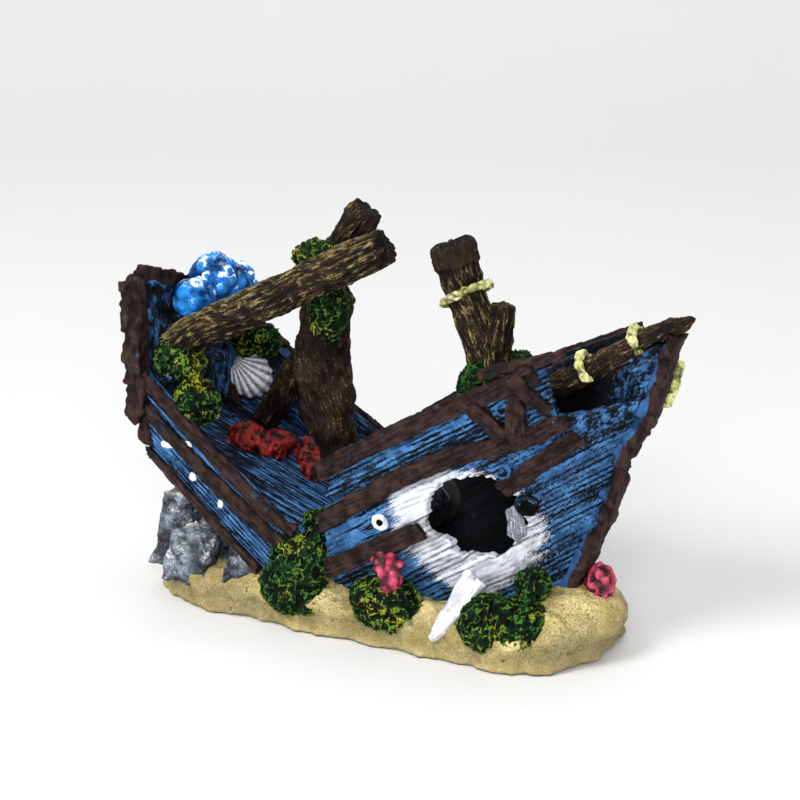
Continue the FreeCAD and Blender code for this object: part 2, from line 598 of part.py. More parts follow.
# ---------------------------------------------------------------- shell, rocks, growths
scallop = keep("scallop_shell", cut(common(lump("scallop", (-46.2, 17.2, 41.2), 4.6), stern_inner), transom))
rock_core = keep("rock_core", cut(boulder("core", (-45, -9, 6), (22, 20, 24), 4, 0), stern_outer, base))
rock_tail = keep("rock_tail", cut(boulder("tail", (-54, -12.5, 6), (11, 12, 15), 2.6, 4),
                                  stern_outer, base, rock_core, low_rail_s))
rock_mid = keep("rock_mid", cut(boulder("mid", (-45.6, -17.6, 5), (12, 10, 9.6), 2.2, -8),
                                stern_outer, base, rock_core, rock_tail, low_rail_s))
rock_front = keep("rock_front", cut(boulder("front", (-32.4, -19.4, 4.4), (11.4, 11, 10.8), 2.2, 6),
                                    stern_outer, base, rock_core, rock_mid, low_rail_s))

GROWTHS = {
    "moss_break": ([((-12, -18.6, 14), (6.6, 4.2, 8.6)), ((-13.6, -19, 9), (7.6, 4, 6)),
                    ((-9.4, -15, 21), (4, 5, 4.4))],
                   [stern_outer, base, bow_hull, stern_gunwale_s, mid_rail_s, low_rail_s, lower_aft,
                    mid_starboard, rock_front, rock_core, stern_deck]),
    "moss_front": ([((8, -17.4, 9), (8.4, 4.6, 6.2))], [bow_outer, base, lower_aft]),
    "moss_bow": ([((30.4, -15.6, 8.4), 6.2), ((36.8, -14.8, 8.8), 6.1), ((37.4, -9.8, 16), 3.7)],
                 [bow_outer, base, hanging_plank]),
    "moss_aft": ([((-45, -14.2, 52.7), 4.2), ((-41.8, -14.4, 52.3), 4), ((-39.4, -14.4, 44), 4.9)],
                 [stern_shell, poop_deck, quarter_post, yard, stern_gunwale_s, stern_fill]),
    "moss_bulwark": ([((-46.4, 16, 49.4), 3.7), ((-42, 16.2, 49.8), 3.6)], [stern_gunwale_p, scallop, transom]),
    "moss_mast": ([((-16.2, -3.2, 75.6), (6, 4.2, 3.4)), ((-14, -3.4, 65), (4.4, 3.2, 7))],
                  [mainmast, yard, mast_top]),
    "moss_foremast": ([((22.4, -3, 54), (4.4, 4.6, 3.8)), ((26.6, 2.4, 55.6), (3.8, 4, 3.6))],
                      [foredeck, foremast, branch]),
    "coral_blue": ([((-47.2, -3.4, 63), 4.4), ((-47.4, 4.4, 65.4), 5.4), ((-46.8, 11.4, 62.6), 4.8)],
                   [transom]),
    "coral_front": ([((8.4, -19.6, 18.6), (2.2, 2, 2.3)), ((11, -19.8, 18.8), (2, 2, 2.1)),
                     ((9.8, -19.8, 15.4), (2.6, 2.1, 2.8)), ((9.6, -19.4, 12.4), (1.5, 1.5, 2.8))],
                    [bow_outer, lower_aft, pale_ring]),
    "coral_bow": ([((46.3, 2.4, 13.6), (3, 3.4, 4.8)), ((44.6, 4.8, 12), (3, 2.8, 3.6))],
                  [bow_outer, base, stem_post]),
    "coral_red": ([((-36, -0.6, 32.8), (4.6, 4.4, 3.2)), ((-31.6, 2.4, 31.2), (4.6, 5, 3.2))],
                  [stern_fill, mainmast, strut]),
    "coral_red_small": ([((-23.6, 5, 29.4), (3.4, 3.4, 4)), ((-20.4, 1.4, 27.8), (2.8, 3, 3.4))],
                        [stern_fill, mainmast, strut]),
}
growths = {}
for name, (lumps, tools) in GROWTHS.items():
    tools = list(tools)
    if name == "coral_front":
        tools.append(growths["moss_front"])
    grown = clump(name, lumps)
    if name == "moss_bulwark":
        grown = common(grown, stern_inner)
    growths[name] = keep(name, cut(grown, *tools))

# ---------------------------------------------------------------- air set
FACE_Y = dim("boss_face_y")
flange_r, plug_r, seat_r = dim("flange_radius"), dim("grommet_radius"), dim("tube_seat_radius")
plug_long, flange_thick = dim("grommet_length"), dim("flange_thick")
plug_lead, plug_step, bevel = dim("grommet_lead"), dim("grommet_step"), dim("flange_chamfer")


def lathe(name, profile, y):
    """A turned fitting on the air axis. The profile is (radius, distance along +Y from y)."""
    body = doc.addObject("PartDesign::Body", name)
    sketch = new_sketch(body, name + "_profile", "XZ_Plane")
    polygon(sketch, name, profile)
    turn = body.newObject("PartDesign::Revolution", name + "_turn")
    turn.Profile = sketch
    turn.ReferenceAxis = (sketch, ["V_Axis"])
    turn.Angle = 360
    body.Placement = Placement(Vector(dim("air_x"), y, dim("air_z")), turned((0, 1, 0)))
    sketch.Visibility = False
    return body


grommet = keep("air_grommet", lathe("grommet", [
    (seat_r, 0), (plug_r - plug_step, 0), (plug_r, plug_lead), (plug_r, plug_long), (flange_r, plug_long),
    (flange_r, plug_long + flange_thick - bevel), (flange_r - bevel, plug_long + flange_thick),
    (seat_r, plug_long + flange_thick)], FACE_Y - plug_long))
stone_back = dim("stone_front_y") + dim("stone_length")
tube_start = stone_back - dim("stone_socket")
tube_end = FACE_Y + flange_thick + dim("tube_outer")
tube_long, tube_bore, tube_r = tube_end - tube_start, dim("tube_bore"), dim("tube_radius")
seat_long, chamfer = tube_long - dim("tube_outer"), dim("tube_chamfer")
tube = keep("air_tube", lathe("tube", [
    (tube_bore, 0), (seat_r, 0), (seat_r, seat_long), (tube_r, seat_long),
    (tube_r, tube_long - chamfer), (tube_r - chamfer, tube_long), (tube_bore, tube_long)], tube_start))
stone_r, stone_round, socket = dim("stone_radius"), dim("stone_round"), dim("stone_socket")
stone_long = dim("stone_length")
stone = keep("air_stone", lathe("stone", [
    (0, 0), (stone_r - stone_round, 0), (stone_r, stone_round), (stone_r, stone_long - stone_round),
    (stone_r - stone_round, stone_long), (seat_r, stone_long), (seat_r, stone_long - socket),
    (0, stone_long - socket)], dim("stone_front_y")))

# ---------------------------------------------------------------- checks and files
doc.recompute()
faults = []
for obj in doc.Objects:
    if "Invalid" in obj.State or "Error" in obj.State:
        faults.append(f"{obj.Name}: {obj.State}")
for label, obj in pieces.items():
    shape = obj.Shape
    if shape.isNull() or not shape.isValid() or not shape.Solids:
        faults.append(f"{label}: no valid solid")
if faults:
    raise SystemExit("\n".join(faults))

os.makedirs("parts", exist_ok=True)
for label, obj in pieces.items():
    obj.Shape.exportStep(f"parts/{label}.step")
    box = obj.Shape.BoundBox
    print(f"{label:28s} solids {len(obj.Shape.Solids)} volume {obj.Shape.Volume:9.1f}  "
          f"x {box.XMin:6.1f} {box.XMax:6.1f}  y {box.YMin:6.1f} {box.YMax:6.1f}  "
          f"z {box.ZMin:6.1f} {box.ZMax:6.1f}")
print(len(pieces), "pieces")
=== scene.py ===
"""Looks of a sunken ship aquarium ornament, in painted cast resin.

Each CAD node gets a finely sculpted piece of its own, grown from the node's shape. Lengths are
millimetres in this script until a mesh is written, and the frame's metres after that. Starboard is
the -Y side, the bow points to +X and Z is up. A salt is a number that picks one noise pattern.
"""

import math

import bpy
import numpy as np
import openvdb as vdb
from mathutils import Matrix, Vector
from mathutils.bvhtree import BVHTree


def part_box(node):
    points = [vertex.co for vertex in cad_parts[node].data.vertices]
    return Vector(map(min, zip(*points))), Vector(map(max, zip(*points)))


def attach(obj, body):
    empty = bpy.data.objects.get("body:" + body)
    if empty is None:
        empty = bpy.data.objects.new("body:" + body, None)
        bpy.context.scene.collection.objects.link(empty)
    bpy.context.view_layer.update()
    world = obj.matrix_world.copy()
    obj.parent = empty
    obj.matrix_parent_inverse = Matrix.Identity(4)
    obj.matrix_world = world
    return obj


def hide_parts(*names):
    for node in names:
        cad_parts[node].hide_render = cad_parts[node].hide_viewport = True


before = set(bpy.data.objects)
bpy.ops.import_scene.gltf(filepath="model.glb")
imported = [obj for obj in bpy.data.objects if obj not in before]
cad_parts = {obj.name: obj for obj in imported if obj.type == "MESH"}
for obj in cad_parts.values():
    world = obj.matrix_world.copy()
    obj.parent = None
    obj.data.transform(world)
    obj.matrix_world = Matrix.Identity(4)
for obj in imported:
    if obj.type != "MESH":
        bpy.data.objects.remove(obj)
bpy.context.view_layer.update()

MM = 0.001
COARSE = 1.0
UP = np.array([0.0, 0.0, 1.0])
SIDEWAYS = np.array([0.0, 1.0, 0.0])

# How far the planks of each half climb away from the sand
BOW_PITCH = math.radians(31)
STERN_PITCH = math.radians(38)

# Size of a mesh cell, and depth of the layer that relief may move, for each kind of piece
HULL_MESH = (0.34, 1.3)
DECK_MESH = (0.34, 1.2)
TRANSOM_MESH = (0.36, 1.5)
COUNTER_MESH = (0.34, 1.4)
TIMBER_MESH = (0.3, 1.3)
LOG_MESH = (0.28, 1.7)
ROPE_MESH = (0.17, 0.9)
MOSS_MESH = (0.26, 2.0)
CORAL_MESH = (0.25, 2.2)
ROCK_MESH = (0.3, 2.2)
SAND_MESH = (0.4, 6.0)
SHELL_MESH = (0.16, 1.1)
WHITE_WOOD_MESH = (0.24, 1.0)
KNOT_MESH = (0.16, 1.0)
SMALL_MESH = (0.14, 0.7)
FITTING_MESH = (0.15, 0.7)
AIR_STONE_MESH = (0.2, 0.7)


# ---------------- noise


def scatter(x, y, z, salt):
    """A repeatable number from 0 to 1 for each whole-number point."""
    n = (
        x.astype(np.int64) * 73856093
        + y.astype(np.int64) * 19349663
        + z.astype(np.int64) * 83492791
        + salt * 40503911
    ) & 0xFFFFFFFF
    n = ((n ^ (n >> 15)) * 0x2C1B3C6D) & 0xFFFFFFFF
    n = ((n ^ (n >> 12)) * 0x297A2D39) & 0xFFFFFFFF
    return ((n ^ (n >> 15)) & 0xFFFFFF) / float(0xFFFFFF)


def noise(p, size, salt=0):
    """Smooth noise from -1 to 1 with features of about the given size."""
    q = p / size
    low = np.floor(q)
    f = q - low
    f = f * f * (3 - 2 * f)
    x, y, z = low.T
    total = np.zeros(len(q))
    for dx in (0, 1):
        wx = f[:, 0] if dx else 1 - f[:, 0]
        for dy in (0, 1):
            wy = wx * (f[:, 1] if dy else 1 - f[:, 1])
            for dz in (0, 1):
                w = wy * (f[:, 2] if dz else 1 - f[:, 2])
                total += w * scatter(x + dx, y + dy, z + dz, salt)
    return total * 2 - 1


def rough(p, size, salt=0, octaves=3):
    """Noise with finer and finer detail, from about -1 to 1."""
    total, weight = 0.0, 1.0
    for octave in range(octaves):
        total = total + weight * noise(p, size / 2**octave, salt + 17 * octave)
        weight *= 0.55
    return total / 1.6


def ridges(p, size, salt=0, octaves=2):
    """Worm-like crests from 0 to 1, 1 along each crest."""
    total, weight = 0.0, 1.0
    for octave in range(octaves):
        crest = 1 - np.abs(noise(p, size / 2**octave, salt + 31 * octave))
        total = total + weight * crest**2
        weight *= 0.5
    return total / 1.5


def cells(p, size, salt=0):
    """Distance to the nearest scattered point, in feature sizes, and that point's own number."""
    q = p / size
    low = np.floor(q)
    best = np.full(len(q), 9.0)
    name = np.zeros(len(q))
    for dx in (-1, 0, 1):
        for dy in (-1, 0, 1):
            for dz in (-1, 0, 1):
                x, y, z = low[:, 0] + dx, low[:, 1] + dy, low[:, 2] + dz
                a = scatter(x, y, z, salt)
                b = scatter(x, y, z, salt + 1)
                c = scatter(x, y, z, salt + 2)
                d = (x + a - q[:, 0]) ** 2 + (y + b - q[:, 1]) ** 2
                d += (z + c - q[:, 2]) ** 2
                closer = d < best
                best = np.where(closer, d, best)
                name = np.where(closer, a, name)
    return np.sqrt(best), name


def unit(x):
    """x kept from 0 to 1."""
    return np.clip(x, 0, 1)


def ramp(low, high, x):
    """0 below low, 1 above high and smooth between them."""
    t = unit((x - low) / (high - low))
    return t * t * (3 - 2 * t)


# ---------------- surfaces


def cad_mesh(nodes):
    """Corner points in millimetres and triangles of some CAD nodes together."""
    meshes = []
    for node in nodes:
        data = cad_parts[node].data
        co = np.empty(len(data.vertices) * 3, np.float32)
        data.vertices.foreach_get("co", co)
        data.calc_loop_triangles()
        tri = np.empty(len(data.loop_triangles) * 3, np.int32)
        data.loop_triangles.foreach_get("vertices", tri)
        meshes.append(((co.reshape(-1, 3) / MM).astype(np.float32), tri.reshape(-1, 3)))
    return together(meshes)


def ball(centre, radii, across=24, down=14):
    """Points and triangles of a closed ball, stretched along X, Y and Z."""
    turn = np.arange(across) * 2 * math.pi / across
    tilt = np.arange(1, down) * math.pi / down
    flat, upright = np.sin(tilt)[:, None], np.cos(tilt)[:, None]
    rings = np.stack([flat * np.cos(turn), flat * np.sin(turn), upright + 0 * turn], 2)
    points = np.vstack([[[0, 0, 1]], rings.reshape(-1, 3), [[0, 0, -1]]])
    triangles = []
    last = 1 + (down - 2) * across
    for k in range(across):
        n = (k + 1) % across
        triangles += [(0, 1 + k, 1 + n), (len(points) - 1, last + n, last + k)]
        for row in range(down - 2):
            a, b = 1 + row * across + k, 1 + row * across + n
            triangles += [(a, a + across, b), (b, a + across, b + across)]
    points = points * np.array(radii) + np.array(centre)
    return points.astype(np.float32), np.array(triangles, np.uint32)


def together(meshes):
    """Several meshes that stand apart from each other, as one."""
    points, triangles, count = [], [], 0
    for own_points, own_triangles in meshes:
        points.append(own_points)
        triangles.append(own_triangles + count)
        count += len(own_points)
    return np.vstack(points), np.vstack(triangles).astype(np.uint32)


def skin_point(node, x, z):
    """Point on the starboard face of a CAD node, at x along and z up."""
    points, triangles = cad_mesh([node])
    tree = BVHTree.FromPolygons(points.tolist(), triangles.tolist())
    outboard = Vector((x, -60, z))
    return np.array(tree.ray_cast(outboard, Vector(SIDEWAYS))[0])


def corners(node):
    """Lowest and highest corner of a CAD node in millimetres."""
    low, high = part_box(node)
    return np.array(low) / MM, np.array(high) / MM


def largest_parts(points, quads, share=0.03):
    """Leaves out crumbs that broke away from the surface."""
    label = np.arange(len(points))
    while True:
        lowest = label[quads].min(axis=1)
        before = label.copy()
        np.minimum.at(label, quads.ravel(), np.repeat(lowest, 4))
        label = label[label]
        if np.array_equal(before, label):
            break
    size = np.bincount(label, minlength=len(points))
    kept = size[label] >= share * size.max()
    number = np.cumsum(kept) - 1
    inside = kept[quads].all(axis=1)
    return points[kept], number[quads[inside]]


def normals_of(points, quads):
    """Outward direction at each point."""
    a, b, c, d = (points[quads[:, k]] for k in range(4))
    face = np.cross(c - a, d - b)
    out = np.zeros_like(points)
    for k in range(4):
        for axis in range(3):
            out[:, axis] += np.bincount(quads[:, k], face[:, axis], len(points))
    return out / np.maximum(np.linalg.norm(out, axis=1, keepdims=True), 1e-12)


def sculpt(source, cell, relief):
    """An even mesh of some CAD nodes, or of a given mesh, and how proud each point is from 0 to 1.

    relief(points, distance) gives the millimetres to add outward. distance is each point's own
    distance from the surface, negative inside.
    """
    voxel, band = cell
    voxel = voxel * COARSE
    band = max(band, 2.5 * voxel)
    points, triangles = source if isinstance(source, tuple) else cad_mesh(source)
    step = vdb.createLinearTransform(voxelSize=voxel)
    grid = vdb.FloatGrid.createLevelSetFromPolygons(
        points, triangles=triangles, transform=step, halfWidth=band / voxel
    )
    low, high = (np.array(v) for v in grid.evalActiveVoxelBoundingBox())
    low, high = low - 2, high + 2
    values = np.empty(high - low + 1, np.float32)
    grid.copyToArray(values, ijk=tuple(int(v) for v in low))
    near = np.abs(values) < 0.999 * band
    places = (np.argwhere(near) + low) * voxel
    values[near] -= relief(places, values[near])
    result = vdb.FloatGrid(band)
    result.transform = step
    result.copyFromArray(values, ijk=tuple(int(v) for v in low))
    points, quads = result.convertToQuads(0)
    points, quads = largest_parts(points.astype(float), quads.astype(np.int64))
    a, b, c, d = (points[quads[:, k]] for k in range(4))
    volume = np.einsum("ij,ij->i", a, np.cross(c - a, d - b)).sum()
    if volume < 0:
        quads = quads[:, ::-1]
    raw = relief(points, 0 * points[:, 0])
    deep, proud = np.percentile(raw, (6, 94))
    return points, quads, unit((raw - deep) / max(proud - deep, 1e-6))


def finish_piece(name, points, quads, shade, node_names, slot, material, body="wreck", **paint):
    """Writes a mesh, its paint maps and its place in the frame, in place of the named CAD nodes."""
    mesh = bpy.data.meshes.new(name)
    mesh.from_pydata(points * MM, [], quads)
    mesh.update()
    mesh.shade_smooth()
    paint["shade"] = shade
    for label, value in paint.items():
        value = np.asarray(value, np.float32)
        kind = "FLOAT_VECTOR" if value.ndim == 2 else "FLOAT"
        layer = mesh.attributes.new(label, kind, "POINT")
        layer.data.foreach_set("vector" if value.ndim == 2 else "value", value.ravel())
    mesh.materials.append(material)
    piece = bpy.data.objects.new(name, mesh)
    bpy.context.scene.collection.objects.link(piece)
    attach(piece, body)
    if node_names:
        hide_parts(*node_names)
    return piece


# ---------------- grain


class Grain:
    """Directions of a plank or a log: along it, across its face and through it."""

    def __init__(self, along, across):
        self.along = along / np.linalg.norm(along)
        self.through = np.cross(self.along, across)
        self.through /= np.linalg.norm(self.through)
        self.across = np.cross(self.through, self.along)

    def split(self, p):
        """Places along the grain, across its face and through it."""
        return p @ self.along, p @ self.across, p @ self.through

    def map(self, p, length=3.2, width=0.42):
        """Points stretched so that even noise on them makes brush streaks of that size."""
        s, q, t = self.split(p)
        return np.stack([s / length, q / width, t / width], axis=1)


BOW_GRAIN = Grain(np.array([math.cos(BOW_PITCH), 0, math.sin(BOW_PITCH)]), UP)
STERN_GRAIN = Grain(np.array([math.cos(STERN_PITCH), 0, -math.sin(STERN_PITCH)]), UP)
BOW_DECK_GRAIN = Grain(BOW_GRAIN.along, SIDEWAYS)
STERN_DECK_GRAIN = Grain(np.array([0.941, 0, -0.339]), SIDEWAYS)


def long_axis(nodes):
    """Centre and longest direction of some CAD nodes."""
    points, triangles = cad_mesh(nodes)
    a, b, c = (points[triangles[:, k]].astype(float) for k in range(3))
    area = np.linalg.norm(np.cross(b - a, c - a), axis=1)
    middle = (a + b + c) / 3
    centre = (middle * area[:, None]).sum(0) / area.sum()
    spread = (middle - centre) * np.sqrt(area)[:, None]
    _, vectors = np.linalg.eigh(spread.T @ spread)
    axis = vectors[:, -1]
    return centre, axis * np.sign(axis[np.argmax(np.abs(axis))])


def grooves(grain, p, width, salt):
    """Depth from 0 to 1 of uneven grooves along a grain, and each plank's own number."""
    s, q, t = grain.split(p)
    drift = noise(np.stack([s / 13, q / 5, t / 40], 1), 1.0, salt) * 0.55
    place = (q + drift) / width
    index = np.floor(place)
    side = np.abs(place - index - 0.5) * 2
    zero = np.zeros_like(index)
    edge = np.where(place - index > 0.5, index + 1, index)
    strength = 0.35 + 0.65 * scatter(edge, zero, zero, salt)
    fade = 0.55 + 0.45 * noise(np.stack([s / 7, edge * 3.1, zero], 1), 1.0, salt + 5)
    own = scatter(index, zero, zero, salt + 9)
    return ramp(0.45, 0.95, side) * strength * fade, own


# ---------------- materials


def colour(red, green, blue):
    """Linear colour of an 8-bit screen colour."""

    def linear(v):
        v = v / 255
        return v / 12.92 if v <= 0.04045 else ((v + 0.055) / 1.055) ** 2.4

    return (linear(red), linear(green), linear(blue), 1.0)


class Nodes:
    """Short calls for building a shader."""

    def __init__(self, name):
        self.material = bpy.data.materials.new(name)
        self.material.use_nodes = True
        self.tree = self.material.node_tree
        self.tree.nodes.clear()
        output = self.new("OutputMaterial")
        self.surface = self.new("BsdfPrincipled")
        self.tree.links.new(self.surface.outputs[0], output.inputs[0])

    def new(self, kind):
        return self.tree.nodes.new("ShaderNode" + kind)

    def set(self, name, value):
        """One input of the surface."""
        self.put(self.surface.inputs[name], value)

    def put(self, socket, value):
        if isinstance(value, bpy.types.NodeSocket):
            self.tree.links.new(value, socket)
        else:
            socket.default_value = value

    def attribute(self, name, output="Fac"):
        node = self.new("Attribute")
        node.attribute_name = name
        return node.outputs[output]

    def place(self):
        """Position in millimetres."""
        node = self.new("TexCoord")
        scale = self.new("VectorMath")
        scale.operation = "SCALE"
        self.put(scale.inputs[0], node.outputs["Object"])
        self.put(scale.inputs["Scale"], 1 / MM)
        return scale.outputs[0]

    def noise(self, vector, scale, detail=3.0, harsh=0.6):
        node = self.new("TexNoise")
        self.put(node.inputs["Vector"], vector)
        self.put(node.inputs["Scale"], scale)
        self.put(node.inputs["Detail"], detail)
        self.put(node.inputs["Roughness"], harsh)
        return node.outputs["Fac"]

    def cells(self, vector, scale):
        node = self.new("TexVoronoi")
        self.put(node.inputs["Vector"], vector)
        self.put(node.inputs["Scale"], scale)
        return node.outputs["Distance"]

    def math(self, operation, a, b=0.0, clamp=False):
        node = self.new("Math")
        node.operation = operation
        node.use_clamp = clamp
        self.put(node.inputs[0], a)
        self.put(node.inputs[1], b)
        return node.outputs[0]

    def span(self, value, low, high, to_low=0.0, to_high=1.0):
        node = self.new("MapRange")
        node.interpolation_type = "SMOOTHSTEP"
        for socket, v in zip(node.inputs, (value, low, high, to_low, to_high)):
            self.put(socket, v)
        return node.outputs[0]

    def mix(self, share, a, b):
        node = self.new("Mix")
        node.data_type = "RGBA"
        self.put(node.inputs["Factor"], share)
        self.put(node.inputs[6], a)
        self.put(node.inputs[7], b)
        return node.outputs[2]

    def dim(self, shown, factor):
        node = self.new("VectorMath")
        node.operation = "SCALE"
        self.put(node.inputs[0], shown)
        self.put(node.inputs["Scale"], factor)
        return node.outputs[0]

    def bump(self, height, distance, strength=1.0):
        node = self.new("Bump")
        self.put(node.inputs["Distance"], distance * MM)
        self.put(node.inputs["Strength"], strength)
        self.put(node.inputs["Height"], height)
        return node.outputs[0]


def coverage(n, amount, texture, soft=0.10, pull=0.9):
    """How much of a coat shows where its paint map holds amount, broken up by a texture."""
    level = n.math("MULTIPLY", n.math("SUBTRACT", texture, 0.5), pull)
    return n.span(n.math("ADD", amount, level), 0.5 - soft, 0.5 + soft)


def painted(name, ground, brush, brush_two, wash=None, stain=None, **look):
    """Cast resin with a dark ground coat and dry-brushed paint over it, with painted shade in its
    hollows and a painted highlight on what stands proud.
    """
    n = Nodes(name)
    place = n.place()
    grain = n.attribute("grain", "Vector")
    streak = n.noise(grain, 1.0, 4.0, 0.66)
    speckle = n.noise(place, look.get("speckle", 2.4), 4.0, 0.68)
    patch = n.noise(place, 0.33, 2.0)
    share = look.get("streaks", 0.7)
    streaked = n.math("MULTIPLY", streak, share)
    broken = n.math("ADD", streaked, n.math("MULTIPLY", speckle, 1 - share))
    ground_dark = tuple(0.45 * c for c in ground[:3]) + (1.0,)
    base = n.mix(n.span(speckle, 0.38, 0.62), ground_dark, ground)
    top = n.mix(n.span(patch, 0.38, 0.62), brush, brush_two)
    pull, soft = look.get("pull", 2.2), look.get("soft", 0.12)
    shown = n.mix(coverage(n, n.attribute("brush"), broken, soft, pull), base, top)
    if wash:
        shown = n.mix(coverage(n, n.attribute("wash"), broken, 0.2, 1.7), shown, wash)
    if stain:
        shown = n.mix(coverage(n, n.attribute("stain"), speckle, 0.12, 0.7), shown, stain)
    # painted shade and highlight: the shade map darkens hollows and brightens what stands proud
    shown = n.dim(shown, n.span(n.attribute("shade"), 0.0, 1.0, look.get("deep", 0.35), 1.15))
    shown = n.dim(shown, n.span(broken, 0.3, 0.7, 0.72, 1.22))
    n.set("Base Color", shown)
    low, high = look.get("gloss", (0.5, 0.75))
    n.set("Roughness", n.span(speckle, 0.3, 0.7, low, high))
    n.set("Specular IOR Level", look.get("shine", 0.3))
    height = n.math("ADD", n.math("MULTIPLY", streak, 0.6), n.math("MULTIPLY", speckle, 0.5))
    n.set("Normal", n.bump(height, look.get("bump", 0.3)))
    return n.material


NAVY = colour(13, 16, 24)
BLUE = colour(72, 124, 178)
BLUE_TWO = colour(48, 88, 136)
BROWN = colour(48, 32, 29)
BROWN_LIT = colour(60, 42, 38)
BROWN_DARK = colour(22, 14, 13)
CHALK = colour(218, 222, 234)

HULL = painted(
    "hull_blue_paint", NAVY, BLUE, BLUE_TWO, CHALK, BROWN, streaks=0.62, pull=3.4, deep=0.2,
    shine=0.14, speckle=3.2, bump=0.4,
)
TIMBER = painted(
    "timber_brown_paint", BROWN_DARK, BROWN, BROWN_LIT, CHALK, BLUE_TWO,
    soft=0.3, pull=1.5, gloss=(0.5, 0.75), shine=0.12, deep=0.3,
)
BARK = painted(
    "bark_paint", colour(44, 30, 22), colour(104, 84, 54), colour(142, 126, 80), None, BROWN,
    soft=0.2, pull=3.0, gloss=(0.55, 0.8), streaks=0.55, deep=0.18, shine=0.15, speckle=3.0,
)
WHITE_WOOD = painted(
    "white_wood_paint", colour(132, 138, 152), colour(244, 245, 247), colour(226, 226, 236),
    soft=0.2, pull=1.0, bump=0.14, deep=0.75,
)
# painted shade: near-black for the dark recess inside each port
PITCH = painted(
    "port_recess_shade_paint", colour(3, 3, 4), colour(12, 13, 15), colour(8, 8, 10),
    streaks=0.3, soft=0.3, pull=1.0, bump=0.12, deep=0.4, shine=0.08, gloss=(0.7, 0.9),
)
ROPE = painted(
    "rope_paint", colour(62, 66, 34), colour(222, 220, 158), colour(192, 196, 116),
    soft=0.2, pull=1.7, streaks=0.1, bump=0.25, deep=0.3, speckle=3.2,
)
MOSS = painted(
    "moss_paint", colour(10, 46, 18), colour(232, 212, 42), colour(172, 186, 44),
    None, colour(58, 104, 36), streaks=0.0, soft=0.09, pull=1.9, bump=0.4,
    gloss=(0.5, 0.7), speckle=2.8, deep=0.12, shine=0.12,
)
CORAL_BLUE = painted(
    "coral_blue_paint", colour(16, 80, 166), colour(30, 120, 216), colour(52, 150, 234),
    colour(236, 248, 253), streaks=0.0, soft=0.2, pull=0.8, bump=0.2, deep=0.45, shine=0.1,
)
CORAL_MAGENTA = painted(
    "coral_magenta_paint", colour(92, 20, 40), colour(172, 50, 78), colour(200, 80, 108),
    streaks=0.0, soft=0.3, pull=0.9, bump=0.16, gloss=(0.28, 0.5), deep=0.26,
)
CORAL_RED = painted(
    "coral_red_paint", colour(60, 10, 8), colour(142, 24, 18), colour(108, 22, 19),
    streaks=0.0, soft=0.3, pull=1.3, bump=0.3, gloss=(0.3, 0.55), deep=0.2,
)
ROCK = painted(
    "rock_paint", colour(48, 56, 68), colour(138, 148, 160), colour(112, 122, 136),
    colour(208, 208, 196), None, streaks=0.0, soft=0.3, pull=1.0, bump=0.35, deep=0.24,
    speckle=1.6,
)
SHELL = painted(
    "shell_paint", colour(176, 174, 184), colour(246, 244, 250), colour(228, 222, 234),
    streaks=0.1, soft=0.3, pull=0.6, bump=0.1, deep=0.62,
)


def sand_material():
    """Ochre paint over rough sand, with grey-green flecks, painted shade in its hollows and a dark
    line at the floor.
    """
    n = Nodes("sand_paint")
    place = n.place()
    fine = n.noise(place, 3.2, 4.0, 0.7)
    wide = n.noise(place, 0.16, 3.0)
    fleck = n.noise(place, 1.9, 5.0, 0.75)
    shown = n.mix(n.span(wide, 0.35, 0.65), colour(236, 216, 156), colour(216, 194, 124))
    shown = n.mix(n.span(fine, 0.38, 0.62), n.mix(0.6, shown, colour(124, 106, 54)), shown)
    # painted shade: the shade map darkens the hollows of the sand and brightens its proud grains
    shown = n.dim(shown, n.span(n.attribute("shade"), 0.0, 1.0, 0.5, 1.12))
    flecks = n.math("MULTIPLY", n.span(fleck, 0.53, 0.57), n.span(fine, 0.3, 0.55))
    flecks = n.math("MULTIPLY", flecks, n.attribute("stain"))
    shown = n.mix(flecks, shown, colour(92, 104, 76))
    shown = n.mix(n.attribute("wash"), shown, colour(22, 20, 16))
    n.set("Base Color", shown)
    n.set("Roughness", n.span(fine, 0.3, 0.7, 0.55, 0.8))
    n.set("Specular IOR Level", 0.3)
    n.set("Normal", n.bump(n.math("ADD", fine, fleck), 0.16))
    return n.material


SAND = sand_material()


def grommet_material():
    """Dull black rubber."""
    n = Nodes("grommet_rubber")
    fine = n.noise(n.place(), 4.0, 4.0, 0.6)
    n.set("Base Color", n.mix(fine, colour(22, 22, 24), colour(44, 44, 48)))
    n.set("Roughness", n.span(fine, 0.3, 0.7, 0.5, 0.72))
    n.set("Normal", n.bump(fine, 0.05))
    return n.material


def tube_material():
    """Clear plastic that has clouded a little."""
    n = Nodes("clear_tube")
    fine = n.noise(n.place(), 1.4, 3.0, 0.5)
    n.set("Base Color", n.mix(fine, colour(226, 236, 238), colour(208, 224, 228)))
    n.set("Roughness", n.span(fine, 0.3, 0.7, 0.06, 0.2))
    n.set("Transmission Weight", 0.85)
    n.set("IOR", 1.41)
    n.set("Normal", n.bump(fine, 0.03))
    return n.material


# ---------------- hull


HOLE_CENTRE = np.array([27.6, 30.8])
HOLE_RADIUS = 9.2
BOW_PLANK, STERN_PLANK, DECK_PLANK = 1.02, 1.04, 1.1
HULL_GROOVE, DECK_GROOVE = 0.5, 0.42
BREAK_JAG = 1.5
BREAK_TRIM = 1.2
BOW_SALT, STERN_SALT = 3, 5

# The white wash is stretched aft, forward, down and up from the round hole, and stays a little thin
WASH_AFT, WASH_FORE, WASH_DOWN, WASH_UP = 1.75, 1.25, 1.75, 1.05
WASH_FADE = 4.2
WASH_FULL = 0.84


def plank_relief(grain, width, depth, salt):
    """Outward relief of weathered planks."""

    def relief(p, distance):
        groove, own = grooves(grain, p, width, salt)
        s, q, t = grain.split(p)
        board = (own - 0.5) * 0.22
        chips = rough(np.stack([s / 2.2, q / 0.8, t / 0.8], 1), 1.0, salt + 40, 2) * 0.16
        return board + chips - depth * groove

    return relief


